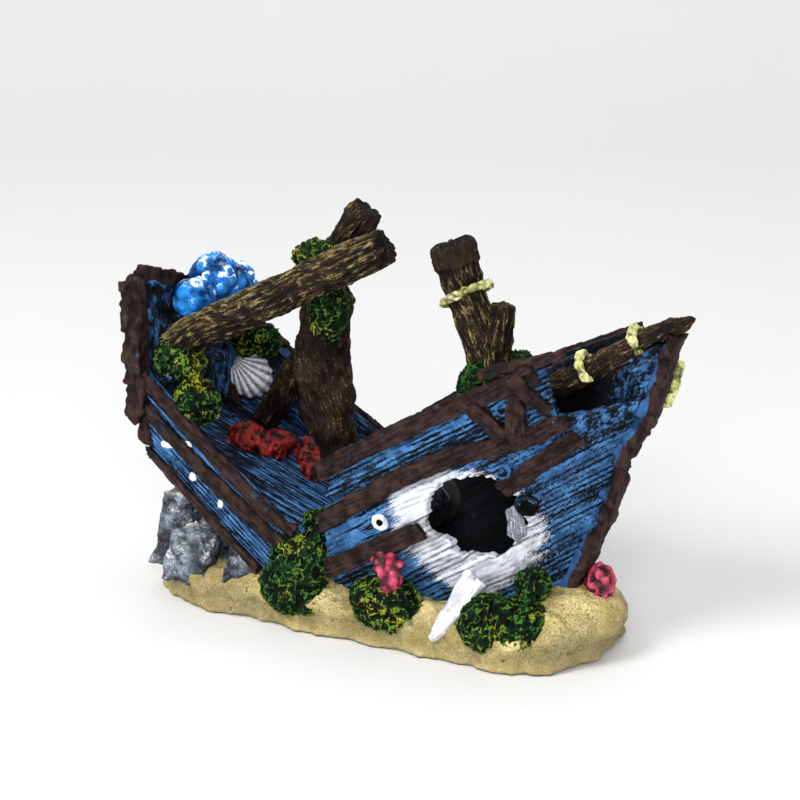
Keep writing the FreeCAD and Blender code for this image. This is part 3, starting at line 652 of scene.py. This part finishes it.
def hull_map(grain, p, width, salt):
    """Share of blue paint left on weathered planks."""
    groove, own = grooves(grain, p, width, salt)
    worn = rough(p, 7.0, salt + 60, 2)
    return unit(0.62 - 1.15 * groove + 0.34 * worn + 0.3 * (own - 0.5))


def broken_ends(grain, p, width, salt):
    """How far each pair of planks has broken back where the hull came apart."""
    _, q, t = grain.split(p)
    plank = np.floor(q / (2 * width))
    return BREAK_JAG * scatter(plank, np.sign(t) + 1, np.zeros(len(p)), salt)


def tear_hole(points, flat, away, starboard):
    """Makes the edge of the round hole ragged."""
    turn = np.arctan2(flat[:, 1], flat[:, 0])
    circle = np.stack([np.cos(turn), np.sin(turn), 0 * turn], 1) * HOLE_RADIUS
    ragged = rough(circle, 3.4, 70, 3) * 1.5 + 0.25 * noise(circle, 0.8, 71)
    hold = np.exp(-((away / 1.7) ** 2)) * starboard
    outward = flat / np.linalg.norm(flat, axis=1, keepdims=True)
    points[:, [0, 2]] += outward * (ragged * hold)[:, None]


def hole_wash(points, flat, away, outside, starboard):
    """White wash round the hole, from 0 to 1, and on its rim."""
    s, q, _ = BOW_GRAIN.split(points - np.array([HOLE_CENTRE[0], 0, HOLE_CENTRE[1]]))
    across = flat[:, 0] / np.where(flat[:, 0] < 0, WASH_AFT, WASH_FORE)
    upright = flat[:, 1] / np.where(flat[:, 1] < 0, WASH_DOWN, WASH_UP)
    reach = np.hypot(across, upright) - HOLE_RADIUS
    drip = np.exp(-(((flat[:, 0] + 3.0) / 4.0) ** 2)) * ramp(-8, -14, flat[:, 1])
    reach -= 3.0 * drip
    reach = reach + 1.1 * rough(np.stack([s / 6, q / 1.2, 0 * s], 1), 1.0, 13, 2)
    face = np.minimum((0.55 - reach / WASH_FADE) * starboard, WASH_FULL)
    rim = ramp(3.0, 0.8, away) * starboard * 0.8
    return unit(np.where(outside > 0.45, face, rim))


def build_bow_hull():
    carve = plank_relief(BOW_GRAIN, BOW_PLANK, HULL_GROOVE, BOW_SALT)
    low, _ = corners("bow_hull")

    def relief(p, distance):
        s, q, t = BOW_GRAIN.split(p)
        splinter = 0.5 * noise(np.stack([0 * s, q / 0.7, t / 2], 1), 1.0, 9)
        jag = broken_ends(BOW_GRAIN, p, BOW_PLANK, 8) + splinter
        return carve(p, distance) - np.clip(low[0] + jag - p[:, 0], 0, BREAK_TRIM)

    points, quads, shade = sculpt(["bow_hull"], HULL_MESH, relief)
    outside = normals_of(points, quads)[:, 1]
    starboard = points[:, 1] < -4
    flat = points[:, [0, 2]] - HOLE_CENTRE
    away = np.hypot(flat[:, 0], flat[:, 1]) - HOLE_RADIUS
    tear_hole(points, flat, away, starboard)
    outside = outside * np.sign(points[:, 1])
    brush = hull_map(BOW_GRAIN, points, BOW_PLANK, BOW_SALT)
    # painted shade: faces inside the hull get no blue, so the inside stays dark navy like a
    # shadowed hollow
    brush = np.where(outside < -0.05, 0.0, brush)
    head = ramp(40, 48, points[:, 0]) * ramp(44, 52, points[:, 2])
    mottled = unit(0.44 + 0.75 * rough(points, 1.5, 12))
    brush = brush * (1 - head) + head * mottled
    brush = brush * (1 - 0.55 * ramp(12, 7, points[:, 2]))
    finish_piece(
        "bow_hull_planking", points, quads, shade, ["bow_hull"], "hull_blue", HULL,
        grain=BOW_GRAIN.map(points), brush=brush,
        wash=hole_wash(points, flat, away, outside, starboard),
    )


def build_stern_hull():
    carve = plank_relief(STERN_GRAIN, STERN_PLANK, HULL_GROOVE, STERN_SALT)
    _, high = corners("stern_hull")

    def relief(p, distance):
        jag = broken_ends(STERN_GRAIN, p, STERN_PLANK, 18)
        return carve(p, distance) - np.clip(p[:, 0] - (high[0] - jag), 0, BREAK_TRIM)

    points, quads, shade = sculpt(["stern_hull"], HULL_MESH, relief)
    outside = normals_of(points, quads)[:, 1] * np.sign(points[:, 1])
    brush = hull_map(STERN_GRAIN, points, STERN_PLANK, STERN_SALT)
    brush = np.where(outside < -0.05, 0.35 + 0.3 * rough(points, 2.4, 15), brush)
    brush *= 1 - 0.5 * ramp(16, 10, points[:, 2])
    finish_piece(
        "stern_hull_planking", points, quads, shade, ["stern_hull"], "hull_blue", HULL,
        grain=STERN_GRAIN.map(points), brush=unit(brush),
    )


def build_decks():
    def deck(name, node, grain, salt, level):
        relief = plank_relief(grain, DECK_PLANK, DECK_GROOVE, salt)
        points, quads, shade = sculpt([node], DECK_MESH, relief)
        brush = hull_map(grain, points, DECK_PLANK, salt) * level(points)
        finish_piece(
            name, points, quads, shade, [node], "hull_blue", HULL,
            grain=grain.map(points), brush=unit(brush),
        )

    deck("stern_deck_planking", "stern_deck", STERN_DECK_GRAIN, 21,
         lambda p: 0.62 + 0.38 * ramp(-38, -16, p[:, 0]))
    deck("fore_deck_planking", "foredeck", BOW_DECK_GRAIN, 22, lambda p: 0.6)
    deck("poop_deck_planking", "poop_deck", STERN_DECK_GRAIN, 23, lambda p: 0.5)


def build_transom():
    upright = Grain(UP, SIDEWAYS)
    board = 2.3

    def relief(p, distance):
        groove, _ = grooves(upright, p, board, 31)
        return 0.25 + rough(p, 3.0, 32, 3) * 0.75 + 0.25 * noise(p, 0.9, 33) - 0.4 * groove

    points, quads, shade = sculpt(["transom"], TRANSOM_MESH, relief)
    normal = normals_of(points, quads)
    inside = normal[:, 0] > 0.25
    # height of the broken top edge, from starboard to port
    top = np.interp(points[:, 1], [-18.8, -14, 2, 12, 16.5], [69, 71.5, 66, 60, 58])
    border = ramp(3.4, 2.2, top - points[:, 2] + 0.7 * noise(points, 2.0, 34))
    side = ramp(-15.5, -17.5, points[:, 1])
    stain = np.maximum(np.maximum(border, side), np.where(inside, 0.0, 0.85))
    brush = unit(0.42 + 0.75 * rough(points, 2.2, 35, 3))
    finish_piece(
        "transom_boards", points, quads, shade, ["transom"], "hull_blue", HULL,
        grain=upright.map(points), brush=brush, stain=stain,
    )


def build_counter():
    """The rough timbers that close the stern under the transom boards."""
    low, high = corners("transom")
    middle = (low + high) / 2
    foot = np.array([middle[0], middle[1], low[2]])

    def relief(p, distance):
        return 0.7 * rough(p, 3.0, 1700, 3)

    for name, offset, radii in (
        ("stern_counter_timber", (1.2, 1.0, 0.4), (1.7, 14.0, 4.2)),
        ("stern_counter_port", (1.6, 13.2, 4.6), (2.4, 4.6, 6.0)),
    ):
        points, quads, shade = sculpt(ball(foot + np.array(offset), radii), COUNTER_MESH, relief)
        brush = unit(0.72 + 0.4 * rough(points, 1.6, 1701, 3))
        finish_piece(
            name, points, quads, shade, [], "timber", TIMBER,
            grain=Grain(SIDEWAYS, UP).map(points), brush=brush, stain=0 * brush,
        )


# ---------------- timber


def build_timber(node, grain, salt, ragged=0.24):
    """A brown plank with rough sides and splintered ends."""
    strand, splintered = 1.05, 0.8
    centre, axis = long_axis([node])
    points_cad, _ = cad_mesh([node])
    reach = ((points_cad - centre) @ axis).astype(float)
    start, stop = reach.min(), reach.max()

    def relief(p, distance):
        s, q, t = grain.split(p)
        fine = rough(np.stack([s / 1.9, q / 0.6, t / 0.6], 1), 1.0, salt, 2) * 0.2
        groove, _ = grooves(grain, p, strand, salt + 3)
        place = (p - centre) @ axis
        tip = np.minimum(place - start, stop - place)
        ends = noise(np.stack([0 * s, q / 0.8, t / 0.8], 1), 1.0, salt + 6)
        splinter = splintered * (0.5 + 0.5 * ends)
        return (
            rough(p, 2.2, salt + 1, 3) * ragged + 1.3 * fine - 0.3 * groove
            - np.clip(splinter - tip, 0, 1.0)
        )

    points, quads, shade = sculpt([node], TIMBER_MESH, relief)
    brush = unit(0.72 + 0.4 * rough(points, 1.6, salt + 2, 3))
    stain = unit(0.1 + 0.5 * rough(points, 2.6, salt + 8, 3))
    if node == "stem_post":
        # blue paint covers the part that lies behind the leading edge
        x, z = points[:, 0], points[:, 2]
        levels = np.linspace(z.min(), z.max(), 40)
        fore = [x[np.abs(z - level) < 1.5].max() for level in levels]
        behind = np.interp(z, levels, fore) - x
        stain = np.maximum(stain, 0.8 * ramp(2.2, 3.6, behind + rough(points, 2.4, salt + 9)))
    finish_piece(
        node + "_timber", points, quads, shade, [node], "timber", TIMBER,
        grain=grain.map(points), brush=brush, stain=stain,
    )


def build_timbers():
    bow = [
        "bow_gunwale_starboard", "bow_gunwale_port", "mid_strake_starboard", "mid_strake_port",
        "lower_strake_aft", "lower_strake_fore", "lower_strake_port", "cap_plank",
    ]
    stern = [
        "stern_gunwale_starboard", "stern_gunwale_port", "stern_mid_rail_starboard",
        "stern_mid_rail_port", "stern_low_rail_starboard",
    ]
    for number, node in enumerate(bow):
        build_timber(node, BOW_GRAIN, 100 + 10 * number)
    for number, node in enumerate(stern):
        build_timber(node, STERN_GRAIN, 300 + 10 * number)
    for number, node in enumerate(["brace_upper", "brace_lower", "brace_upright"]):
        _, axis = long_axis([node])
        build_timber(node, Grain(axis, np.array([0.5, 0.1, 1.0])), 400 + 10 * number, 0.5)
    build_timber("stem_post", Grain(UP + 0.4 * np.array([1.0, 0, 0]), SIDEWAYS), 440, 0.6)
    build_timber("quarter_post", Grain(UP, SIDEWAYS), 450, 0.75)


# ---------------- logs


class Log:
    """A log's own directions, and places on it: along it and round it."""

    def __init__(self, node, salt):
        self.salt = salt
        self.centre, self.axis = long_axis([node])
        self.side = np.cross(self.axis, UP if abs(self.axis[2]) < 0.8 else SIDEWAYS)
        self.side /= np.linalg.norm(self.side)
        self.other = np.cross(self.axis, self.side)
        points, _ = cad_mesh([node])
        away = points - self.centre
        reach = (away @ self.axis).astype(float)
        self.start, self.stop = reach.min(), reach.max()
        off_axis = np.linalg.norm(away - np.outer(reach, self.axis), axis=1)
        self.radius = float(np.median(off_axis))

    def around(self, p):
        """Place along the log, and its place round it as a point on a circle that wanders."""
        away = p - self.centre
        t = away @ self.axis
        wander = noise(np.stack([t / 9, 0 * t, 0 * t], 1), 1.0, self.salt)
        turn = np.arctan2(away @ self.other, away @ self.side) + 0.35 * wander
        return t, np.cos(turn) * self.radius, np.sin(turn) * self.radius

    def crest(self, p):
        """Height of the bark from 0 to about 1."""
        t, a, b = self.around(p)
        wide = ridges(np.stack([t / 3.2, a / 0.6, b / 0.6], 1), 1.0, self.salt + 1, 2)
        fine = noise(np.stack([t / 1.6, a / 0.4, b / 0.4], 1), 1.0, self.salt + 2)
        return wide * 0.75 + 0.25 * fine


def build_log(node, salt, straw=0.5, gnarl=0.35, bark=0.45, end=1.1, head=0.0, burls=()):
    """A weathered log: bark grooves along it, knots and broken ends.

    straw is the share of pale paint. gnarl, bark and end are heights of the relief. head is the
    length of a thicker end above a narrow neck. Each burl is a place along the log, a heading round
    it, a height and a radius.
    """
    log = Log(node, salt)

    def relief(p, distance):
        t, a, b = log.around(p)
        ends = noise(np.stack([0 * t, a / 1.3, b / 1.3], 1), 1.0, salt + 3)
        jag = end * (0.9 + 0.8 * ends)
        knots, _ = cells(p, 9.0, salt + 4)
        knot = np.exp(-((knots / 0.22) ** 2)) * 0.9
        out = (log.crest(p) - 0.55) * bark * 2.3 + rough(p, 5.0, salt + 5, 3) * gnarl + knot * 0.6
        for along, heading, height, radius in burls:
            facing = np.array([math.cos(heading), math.sin(heading), 0.0])
            spot = log.centre + along * log.axis + log.radius * facing
            out += height * np.exp(-((np.linalg.norm(p - spot, axis=1) / radius) ** 2))
        if head:
            down = log.stop - t + 0.5 * noise(p, 2.0, salt + 7)
            out += 0.35 * ramp(head + 0.5, head - 0.3, down) * ramp(0.0, 2.5, down)
            out -= 0.3 * ramp(head, head + 0.6, down) * ramp(head + 3.4, head + 2.2, down)
        return out - np.clip(jag - np.minimum(t - log.start, log.stop - t), 0, 1.6)

    points, quads, shade = sculpt([node], LOG_MESH, relief)
    t, a, b = log.around(points)
    upward = ramp(0.0, 0.9, normals_of(points, quads)[:, 2])
    tip = np.maximum(ramp(1.8, 0.4, t - log.start), ramp(1.8, 0.4, log.stop - t))
    patch = 0.5 + 0.5 * rough(points, 8.0, salt + 6, 2)
    brush = 0.17 + ramp(0.3, 0.9, log.crest(points)) * (0.4 + 0.6 * patch) * straw
    brush = brush * (1 - 0.55 * tip) + 0.42 * upward * straw
    if head:
        brush *= 1 - 0.6 * ramp(head + 1.0, head, log.stop - t)
    finish_piece(
        node + "_log", points, quads, shade, [node], "log", BARK,
        grain=np.stack([t / 2.4, a / 0.3, b / 0.3], 1), brush=unit(brush), stain=0 * brush,
    )


def build_logs():
    build_log("fallen_yard", 500, 0.62, 0.3, 0.42)
    build_log("mast_top", 520, 0.25, 0.55, 0.4)
    build_log(
        "mainmast", 540, 0.16, 1.3, 0.3,
        burls=[(-3.0, math.radians(-10), 2.6, 3.2), (2.5, math.radians(-120), 1.6, 3.4),
               (-9.0, math.radians(-60), 1.3, 3.0)],
    )
    build_log("mast_strut", 560, 0.3, 0.4, 0.3)
    build_log("foremast", 580, 0.5, 0.4, 0.42, head=5.6)
    build_log("foremast_branch", 600, 0.58, 0.35, 0.4, 0.7)
    build_log("bowsprit", 620, 0.3, 0.6, 0.35, 0.6)


# ---------------- growth


def build_ropes():
    strand = 1.15
    for number, node in enumerate(
        ["foremast_rope", "bowsprit_rope_aft", "bowsprit_rope_fore", "stem_rope"]
    ):
        salt = 700 + 10 * number
        low, _ = corners(node)
        # the aft rope has lost its lowest two millimetres
        cut_below = low[2] + 2.0 if node == "bowsprit_rope_aft" else low[2] - 2.0

        def relief(p, distance):
            bead, _ = cells(p, strand, salt)
            crust = 0.5 * (0.62 - bead) + 0.3 * rough(p, 0.7, salt + 4, 2)
            lost = 2.0 * ramp(0.5, -0.5, p[:, 2] - cut_below)
            return crust + 0.4 * rough(p, 2.2, salt + 5, 2) - lost

        points, quads, shade = sculpt([node], ROPE_MESH, relief)
        bead, _ = cells(points, strand, salt)
        finish_piece(
            node + "_strands", points, quads, shade, [node], "rope", ROPE,
            grain=points / 0.8, brush=unit(1.15 - 0.8 * bead),
        )


def build_moss():
    # share of yellow on each clump
    yellow = {
        "moss_break": 0.42, "moss_front": 0.5, "moss_bow": 0.42, "moss_aft": 0.6,
        "moss_bulwark": 0.46, "moss_mast": 0.4, "moss_foremast": 0.16,
    }
    for number, (node, share) in enumerate(yellow.items()):
        salt = 800 + 10 * number

        def crest(p):
            return ridges(p + 0.4 * noise(p, 0.8, salt + 3)[:, None], 1.1, salt, 2)

        def relief(p, distance):
            lump, _ = cells(p, 3.6, salt + 1)
            out = 1.5 * (crest(p) - 0.6) + 0.9 * (0.5 - lump) + 0.25 * rough(p, 0.6, salt + 2, 2)
            return out + 0.9 if node == "moss_foremast" else out

        points, quads, shade = sculpt([node], MOSS_MESH, relief)
        patch = rough(points, 3.2, salt + 5, 2)
        height = crest(points)
        brush = ramp(0.6, 0.95, height) * 0.85 + 0.6 * patch + share - 0.42
        finish_piece(
            node + "_growth", points, quads, shade, [node], "moss", MOSS,
            grain=points / 0.8, brush=unit(brush), stain=unit(height - 0.25),
        )


def build_corals():
    def coral(node, material, slot, size, bulge, wrinkle, salt, ring=False):
        def relief(p, distance):
            lobe, _ = cells(p, size, salt)
            fold = ridges(p, 1.7, salt + 3, 2) - 0.55
            return bulge * (0.55 - lobe) + wrinkle * fold + 0.14 * rough(p, 0.9, salt + 4, 2)

        points, quads, shade = sculpt([node], CORAL_MESH, relief)
        lobe, own = cells(points, size, salt)
        fold = ridges(points, 1.7, salt + 3, 2)
        normal = normals_of(points, quads)
        brush = unit(1.15 - lobe + 0.6 * wrinkle * (fold - 0.5))
        wash = 0 * brush
        if ring:
            loop = np.exp(-(((lobe - 0.34) / 0.10) ** 2)) * (own > 0.3)
            wash = loop * ramp(-0.2, 0.5, normal[:, 2]) + 0.5 * ramp(0.55, 0.95, normal[:, 2])
            wash = unit(wash * (0.8 + 0.5 * rough(points, 1.6, salt + 6, 2)))
        finish_piece(
            node + "_growth", points, quads, shade, [node], slot, material,
            grain=points / 0.8, brush=brush, wash=wash,
        )

    coral("coral_blue", CORAL_BLUE, "coral_blue", 3.4, 1.5, 0.5, 900, True)
    coral("coral_front", CORAL_MAGENTA, "coral_magenta", 2.3, 1.3, 0.15, 910)
    coral("coral_bow", CORAL_MAGENTA, "coral_magenta", 1.9, 1.1, 0.8, 920)
    coral("coral_red", CORAL_RED, "coral_red", 2.6, 0.8, 1.2, 930)
    coral("coral_red_small", CORAL_RED, "coral_red", 2.6, 0.8, 1.2, 940)


def build_rocks():
    for number, node in enumerate(["rock_core", "rock_tail", "rock_mid", "rock_front"]):
        salt = 1000 + 10 * number

        def relief(p, distance):
            facet, _ = cells(p, 5.4, salt)
            return (
                1.5 * (0.5 - facet) + 0.6 * rough(p, 2.6, salt + 3, 3)
                + 0.25 * ridges(p, 1.3, salt + 4, 2) + 0.3
            )

        points, quads, shade = sculpt([node], ROCK_MESH, relief)
        normal = normals_of(points, quads)
        height = rough(points, 3.6, salt + 3, 3)
        # painted highlight: faces that look up get more of the grey and of the pale coat, as if lit
        # from above
        lit = ramp(-0.5, 0.9, normal[:, 2])
        brush = unit(0.4 + 0.5 * lit + 0.45 * height)
        wash = unit(0.62 * lit + 0.5 * rough(points, 4.0, salt + 6, 3) - 0.12)
        finish_piece(
            node + "_stone", points, quads, shade, [node], "rock", ROCK,
            grain=points / 0.9, brush=brush, wash=wash,
        )


def build_sand():
    low, high = corners("sand_base")
    mounds = [
        # share of the length, share of the width, height, radius
        (0.88, 0.40, 4.2, 13.0),
        (0.97, 0.50, 2.0, 9.0),
        (0.40, 0.07, 3.2, 6.5),
        (0.30, 0.10, 1.8, 6.0),
        (0.66, 0.06, 2.2, 5.0),
        (0.10, 0.30, 2.0, 9.0),
        (0.12, 0.75, 2.6, 12.0),
        (0.45, 0.93, 2.6, 9.0),
        (0.75, 0.85, 2.4, 9.0),
    ]

    def relief(p, distance):
        out = 1.6 * rough(p, 9.0, 1100, 2) + 1.1 * rough(p, 3.4, 1101, 3)
        out += 0.3 * ridges(p, 1.4, 1102, 2)
        pits, own = cells(p, 2.6, 1103)
        out -= 1.2 * np.exp(-((pits / 0.2) ** 2)) * (own > 0.5)
        up = ramp(3.5, 8.0, p[:, 2])
        for along, across, height, radius in mounds:
            centre = low + (high - low) * np.array([along, across, 1])
            d = np.hypot(p[:, 0] - centre[0], p[:, 1] - centre[1]) / radius
            out += height * np.exp(-(d**2)) * up
        edge = 0.9 * rough(np.stack([p[:, 0], p[:, 1], 0 * p[:, 0]], 1), 6.5, 1104, 2)
        out += edge * ramp(7.0, 2.0, p[:, 2]) + 0.5 * ramp(2.4, 0.9, p[:, 2])
        out += 0.9 * ramp(-46, -53, p[:, 0]) - 3.2 * ramp(42, 53, p[:, 0])
        return np.minimum(out - ramp(0.9, 0.0, p[:, 2]) * 0.5, 5.2 - 0 * out)

    def floored(p, distance):
        out = relief(p, distance)
        # the underside stays flat on the floor
        return np.where(distance - out < -p[:, 2], distance + p[:, 2], out)

    points, quads, shade = sculpt(["sand_base"], SAND_MESH, floored)
    points[:, 2] = np.maximum(points[:, 2], 0.02)
    flecks = unit(0.7 + 0.9 * rough(points, 6.0, 1105, 2))
    flecks = flecks * ramp(1.8, 3.4, points[:, 2])
    under = ramp(0.55, 0.15, points[:, 2])
    finish_piece(
        "sand_bed", points, quads, shade, ["sand_base"], "sand", SAND,
        grain=points, stain=flecks, wash=under,
    )


def build_shell():
    low, high = corners("scallop_shell")
    centre, size = (low + high) / 2, (high - low) / 2
    hinge = centre + size * np.array([-0.85, -0.2, 0.9])
    rib_turn = 30.0
    # the fan lies in a plane that leans back against the transom
    right, up = np.array([0.87, 0.5, 0.0]), np.array([-0.14, 0.25, 0.96])

    def fan(p):
        d = p - hinge
        turn = np.arctan2(d @ right, -(d @ up))
        return np.cos(turn * rib_turn), np.linalg.norm(d, axis=1)

    def relief(p, distance):
        rib, reach = fan(p)
        growth_line = 0.06 * np.cos(reach * 5.2)
        fine = 0.06 * rough(p, 1.0, 1201, 2)
        return 0.5 + 0.2 * rib * ramp(0.5, 3.0, reach) + growth_line + fine

    points, quads, shade = sculpt(["scallop_shell"], SHELL_MESH, relief)
    rib, reach = fan(points)
    finish_piece(
        "scallop_ribs", points, quads, shade, ["scallop_shell"], "shell", SHELL,
        grain=points / 0.6, brush=unit(0.68 + 0.35 * rib),
    )


def build_white_wood():
    for number, node in enumerate(["hanging_plank", "inner_splinter"]):
        salt = 1300 + 10 * number
        _, axis = long_axis([node])
        grain = Grain(axis, np.array([1.0, 0.3, 0.2]))

        def relief(p, distance):
            s, q, t = grain.split(p)
            fine = rough(np.stack([s / 2.6, q / 0.8, t / 0.8], 1), 1.0, salt, 2) * 0.2
            return fine + 0.4 * rough(p, 2.4, salt + 1, 2)

        points, quads, shade = sculpt([node], WHITE_WOOD_MESH, relief)
        tone = 0.75 if node == "hanging_plank" else 0.35
        finish_piece(
            node + "_wood", points, quads, shade, [node], "white_wood", WHITE_WOOD,
            grain=grain.map(points), brush=unit(tone + 0.4 * rough(points, 3, salt + 2)),
        )


def build_ports():
    """Two little round ports: rims that stand proud and, in each, a black disc of painted shade for
    the port's recess.
    """

    def rim_relief(p, distance):
        return 0.22 * rough(p, 1.2, 1340, 2) + 0.05

    def blank_relief(p, distance):
        return 0.1 * rough(p, 1.0, 1350, 2)

    for node, material, slot, tone, radius in (
        ("port_ring_pale", WHITE_WOOD, "white_wood", 0.8, 0.75),
        ("port_ring_dark", HULL, "hull_blue", 0.3, 2.2),
    ):
        points, quads, shade = sculpt([node], SMALL_MESH, rim_relief)
        finish_piece(
            node + "_rim", points, quads, shade, [node], slot, material,
            grain=points / 0.7, brush=unit(tone + 0.4 * rough(points, 1.4, 1341)),
        )
        low, high = corners(node)
        # painted shade: a black disc in each port stands for the dark of its recess
        source = ball((low + high) / 2, (radius, 0.55, radius))
        points, quads, shade = sculpt(source, SMALL_MESH, blank_relief)
        finish_piece(
            node + "_recess_shade", points, quads, shade, [], "hull_blue", PITCH,
            grain=points / 0.7, brush=unit(0.3 + 0.4 * rough(points, 1.4, 1351)),
        )


KNOTS = [
    # along, up, radius
    (34.4, 41.4, 1.7),
    (35.2, 54.8, 1.5),
    (43.0, 53.4, 1.5),
]
DAUBS = [
    # along, up, radii along, through and up
    (-43.8, 35.2, (1.7, 0.55, 0.8)),
    (-38.5, 36.1, (1.0, 0.5, 0.8)),
    (-37.7, 29.2, (1.0, 0.55, 0.9)),
    (-30.8, 24.3, (0.8, 0.5, 1.1)),
]


def build_knots():
    """Sunk knots in the side planks, each with a raised rim that caught the blue paint."""
    for number, (x, z, radius) in enumerate(KNOTS):
        middle = skin_point("bow_hull", x, z)

        def reach(p):
            return np.hypot(p[:, 0] - middle[0], p[:, 2] - middle[2]) / radius

        def relief(p, distance):
            return 0.25 * rough(p, 0.9, 1360 + number, 2) - 0.9 * ramp(0.75, 0.3, reach(p))

        points, quads, shade = sculpt(ball(middle, (radius, 1.0, radius)), KNOT_MESH, relief)
        finish_piece(
            f"plank_knot_{number + 1}", points, quads, shade, [], "hull_blue", HULL,
            grain=points / 0.7, brush=unit(1.1 * ramp(0.35, 0.8, reach(points))),
        )


def build_daubs():
    """Thick dabs of white paint on the starboard quarter."""
    balls = [ball(skin_point("stern_hull", x, z), radii) for x, z, radii in DAUBS]

    def relief(p, distance):
        return 0.35 * rough(p, 1.1, 1380, 2)

    points, quads, shade = sculpt(together(balls), SMALL_MESH, relief)
    finish_piece(
        "quarter_white_daubs", points, quads, shade, [], "white_wood", WHITE_WOOD,
        grain=points / 0.7, brush=unit(0.9 + 0.2 * rough(points, 1.4, 1381)),
    )


# ---------------- air set


def build_air_set():
    """The air stone, its tube and its grommet, which slide out together."""
    # painted shade: the stone's colours are a dark charcoal, darker than blue-grey stone, so that
    # it stays as dark as the shaded inside of the hull
    grit_paint = painted(
        "air_stone_grit", colour(26, 30, 36), colour(52, 58, 66), colour(42, 48, 56),
        streaks=0.0, soft=0.3, pull=1.4, bump=0.2,
    )
    for node, salt, material, slot, depth, mesh in (
        ("air_grommet", 1400, grommet_material(), "grommet", 0.03, FITTING_MESH),
        ("air_tube", 1410, tube_material(), "clear_tube", 0.02, FITTING_MESH),
        ("air_stone", 1420, grit_paint, "air_stone", 0.28, AIR_STONE_MESH),
    ):

        def relief(p, distance):
            grit, _ = cells(p, 0.7, salt)
            return depth * (0.5 - grit) * 2 + 0.3 * depth * rough(p, 0.5, salt + 4, 2)

        points, quads, shade = sculpt([node], mesh, relief)
        finish_piece(
            node + "_part", points, quads, shade, [node], slot, material, "air_set",
            grain=points / 0.6, brush=unit(0.5 + 0.5 * rough(points, 1.1, salt + 6)),
        )


# ---------------- stage


VIEW_AZIMUTH = math.radians(30)
VIEW_ELEVATION = math.radians(16.5)
VIEW_DISTANCE = 0.6
VIEW_AIM = Vector((-0.0055, 0.01145, 0.0383))
LENS = 128.25
SENSOR = 36.0

# The backdrop, in metres
FLOOR_REACH, FLOOR_BACK, WALL_TOP, WALL_BEND = 1.6, 0.5, 1.4, 0.35
BEND_STEPS = 12

# Each light's place, the point it faces, its size and its watts
LIGHTS = {
    "key": ((-0.25, -0.7, 0.7), (0, 0, 0.03), 0.45, 6.4),
    "front": ((0.32, -0.62, 0.34), (-0.01, 0, 0.04), 0.25, 2.6),
    "fill": ((0.75, -0.35, 0.35), (0, 0, 0.03), 0.7, 1.2),
    "top": ((0.0, 0.25, 0.9), (0, 0, 0.03), 0.8, 2.6),
}
WORLD_LIGHT = 0.36


def build_stage():
    """A pale paper floor that bends up into a wall behind the object."""
    n = Nodes("floor_paper")
    tone = n.noise(n.place(), 0.01, 2.0)
    shown = n.mix(tone, colour(236, 236, 236), colour(240, 240, 240))
    n.set("Base Color", shown)
    n.set("Roughness", 0.9)
    rows = [(-FLOOR_REACH, 0.0), (FLOOR_BACK, 0.0)]
    for k in range(1, BEND_STEPS + 1):
        angle = math.pi / 2 * k / BEND_STEPS
        behind = FLOOR_BACK + WALL_BEND * math.sin(angle)
        rows.append((behind, WALL_BEND * (1 - math.cos(angle))))
    rows.append((FLOOR_BACK + WALL_BEND, WALL_TOP))
    across = np.array([math.cos(VIEW_AZIMUTH), math.sin(VIEW_AZIMUTH)]) * FLOOR_REACH
    back = np.array([-math.sin(VIEW_AZIMUTH), math.cos(VIEW_AZIMUTH)])
    points = []
    for y, z in rows:
        for side in (-1, 1):
            flat = across * side + back * y
            points.append((flat[0], flat[1], z))
    faces = [(2 * k, 2 * k + 1, 2 * k + 3, 2 * k + 2) for k in range(len(rows) - 1)]
    mesh = bpy.data.meshes.new("studio_floor")
    mesh.from_pydata(points, [], faces)
    mesh.shade_smooth()
    mesh.materials.append(n.material)
    floor = bpy.data.objects.new("studio_floor", mesh)
    bpy.context.scene.collection.objects.link(floor)


def build_camera():
    low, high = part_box("sand_base")
    aim = (low + high) / 2 + VIEW_AIM
    away = Vector(
        (
            math.sin(VIEW_AZIMUTH) * math.cos(VIEW_ELEVATION),
            -math.cos(VIEW_AZIMUTH) * math.cos(VIEW_ELEVATION),
            math.sin(VIEW_ELEVATION),
        )
    )
    data = bpy.data.cameras.new("photo_view")
    data.lens = LENS
    data.sensor_width = SENSOR
    data.clip_start = 0.01
    camera = bpy.data.objects.new("photo_view", data)
    camera.location = aim + away * VIEW_DISTANCE
    camera.rotation_euler = (-away).to_track_quat("-Z", "Y").to_euler()
    bpy.context.scene.collection.objects.link(camera)
    bpy.context.scene.camera = camera


def build_lights():
    for name, (place, aim, size, power) in LIGHTS.items():
        light = bpy.data.lights.new(name, "AREA")
        light.size = size
        light.energy = power
        holder = bpy.data.objects.new(name, light)
        holder.location = place
        facing = Vector(aim) - Vector(place)
        holder.rotation_euler = facing.to_track_quat("-Z", "Y").to_euler()
        bpy.context.scene.collection.objects.link(holder)
    world = bpy.data.worlds.new("studio")
    world.use_nodes = True
    background = world.node_tree.nodes["Background"]
    background.inputs[0].default_value = (1, 1, 1, 1)
    background.inputs[1].default_value = WORLD_LIGHT
    bpy.context.scene.world = world
    bpy.context.scene.view_settings.view_transform = "Standard"


for build in (
    build_bow_hull, build_stern_hull, build_decks, build_transom, build_counter, build_timbers,
    build_logs, build_ropes, build_moss, build_corals, build_rocks, build_sand, build_shell,
    build_white_wood, build_ports, build_knots, build_daubs, build_air_set, build_stage,
    build_camera, build_lights,
):
    build()
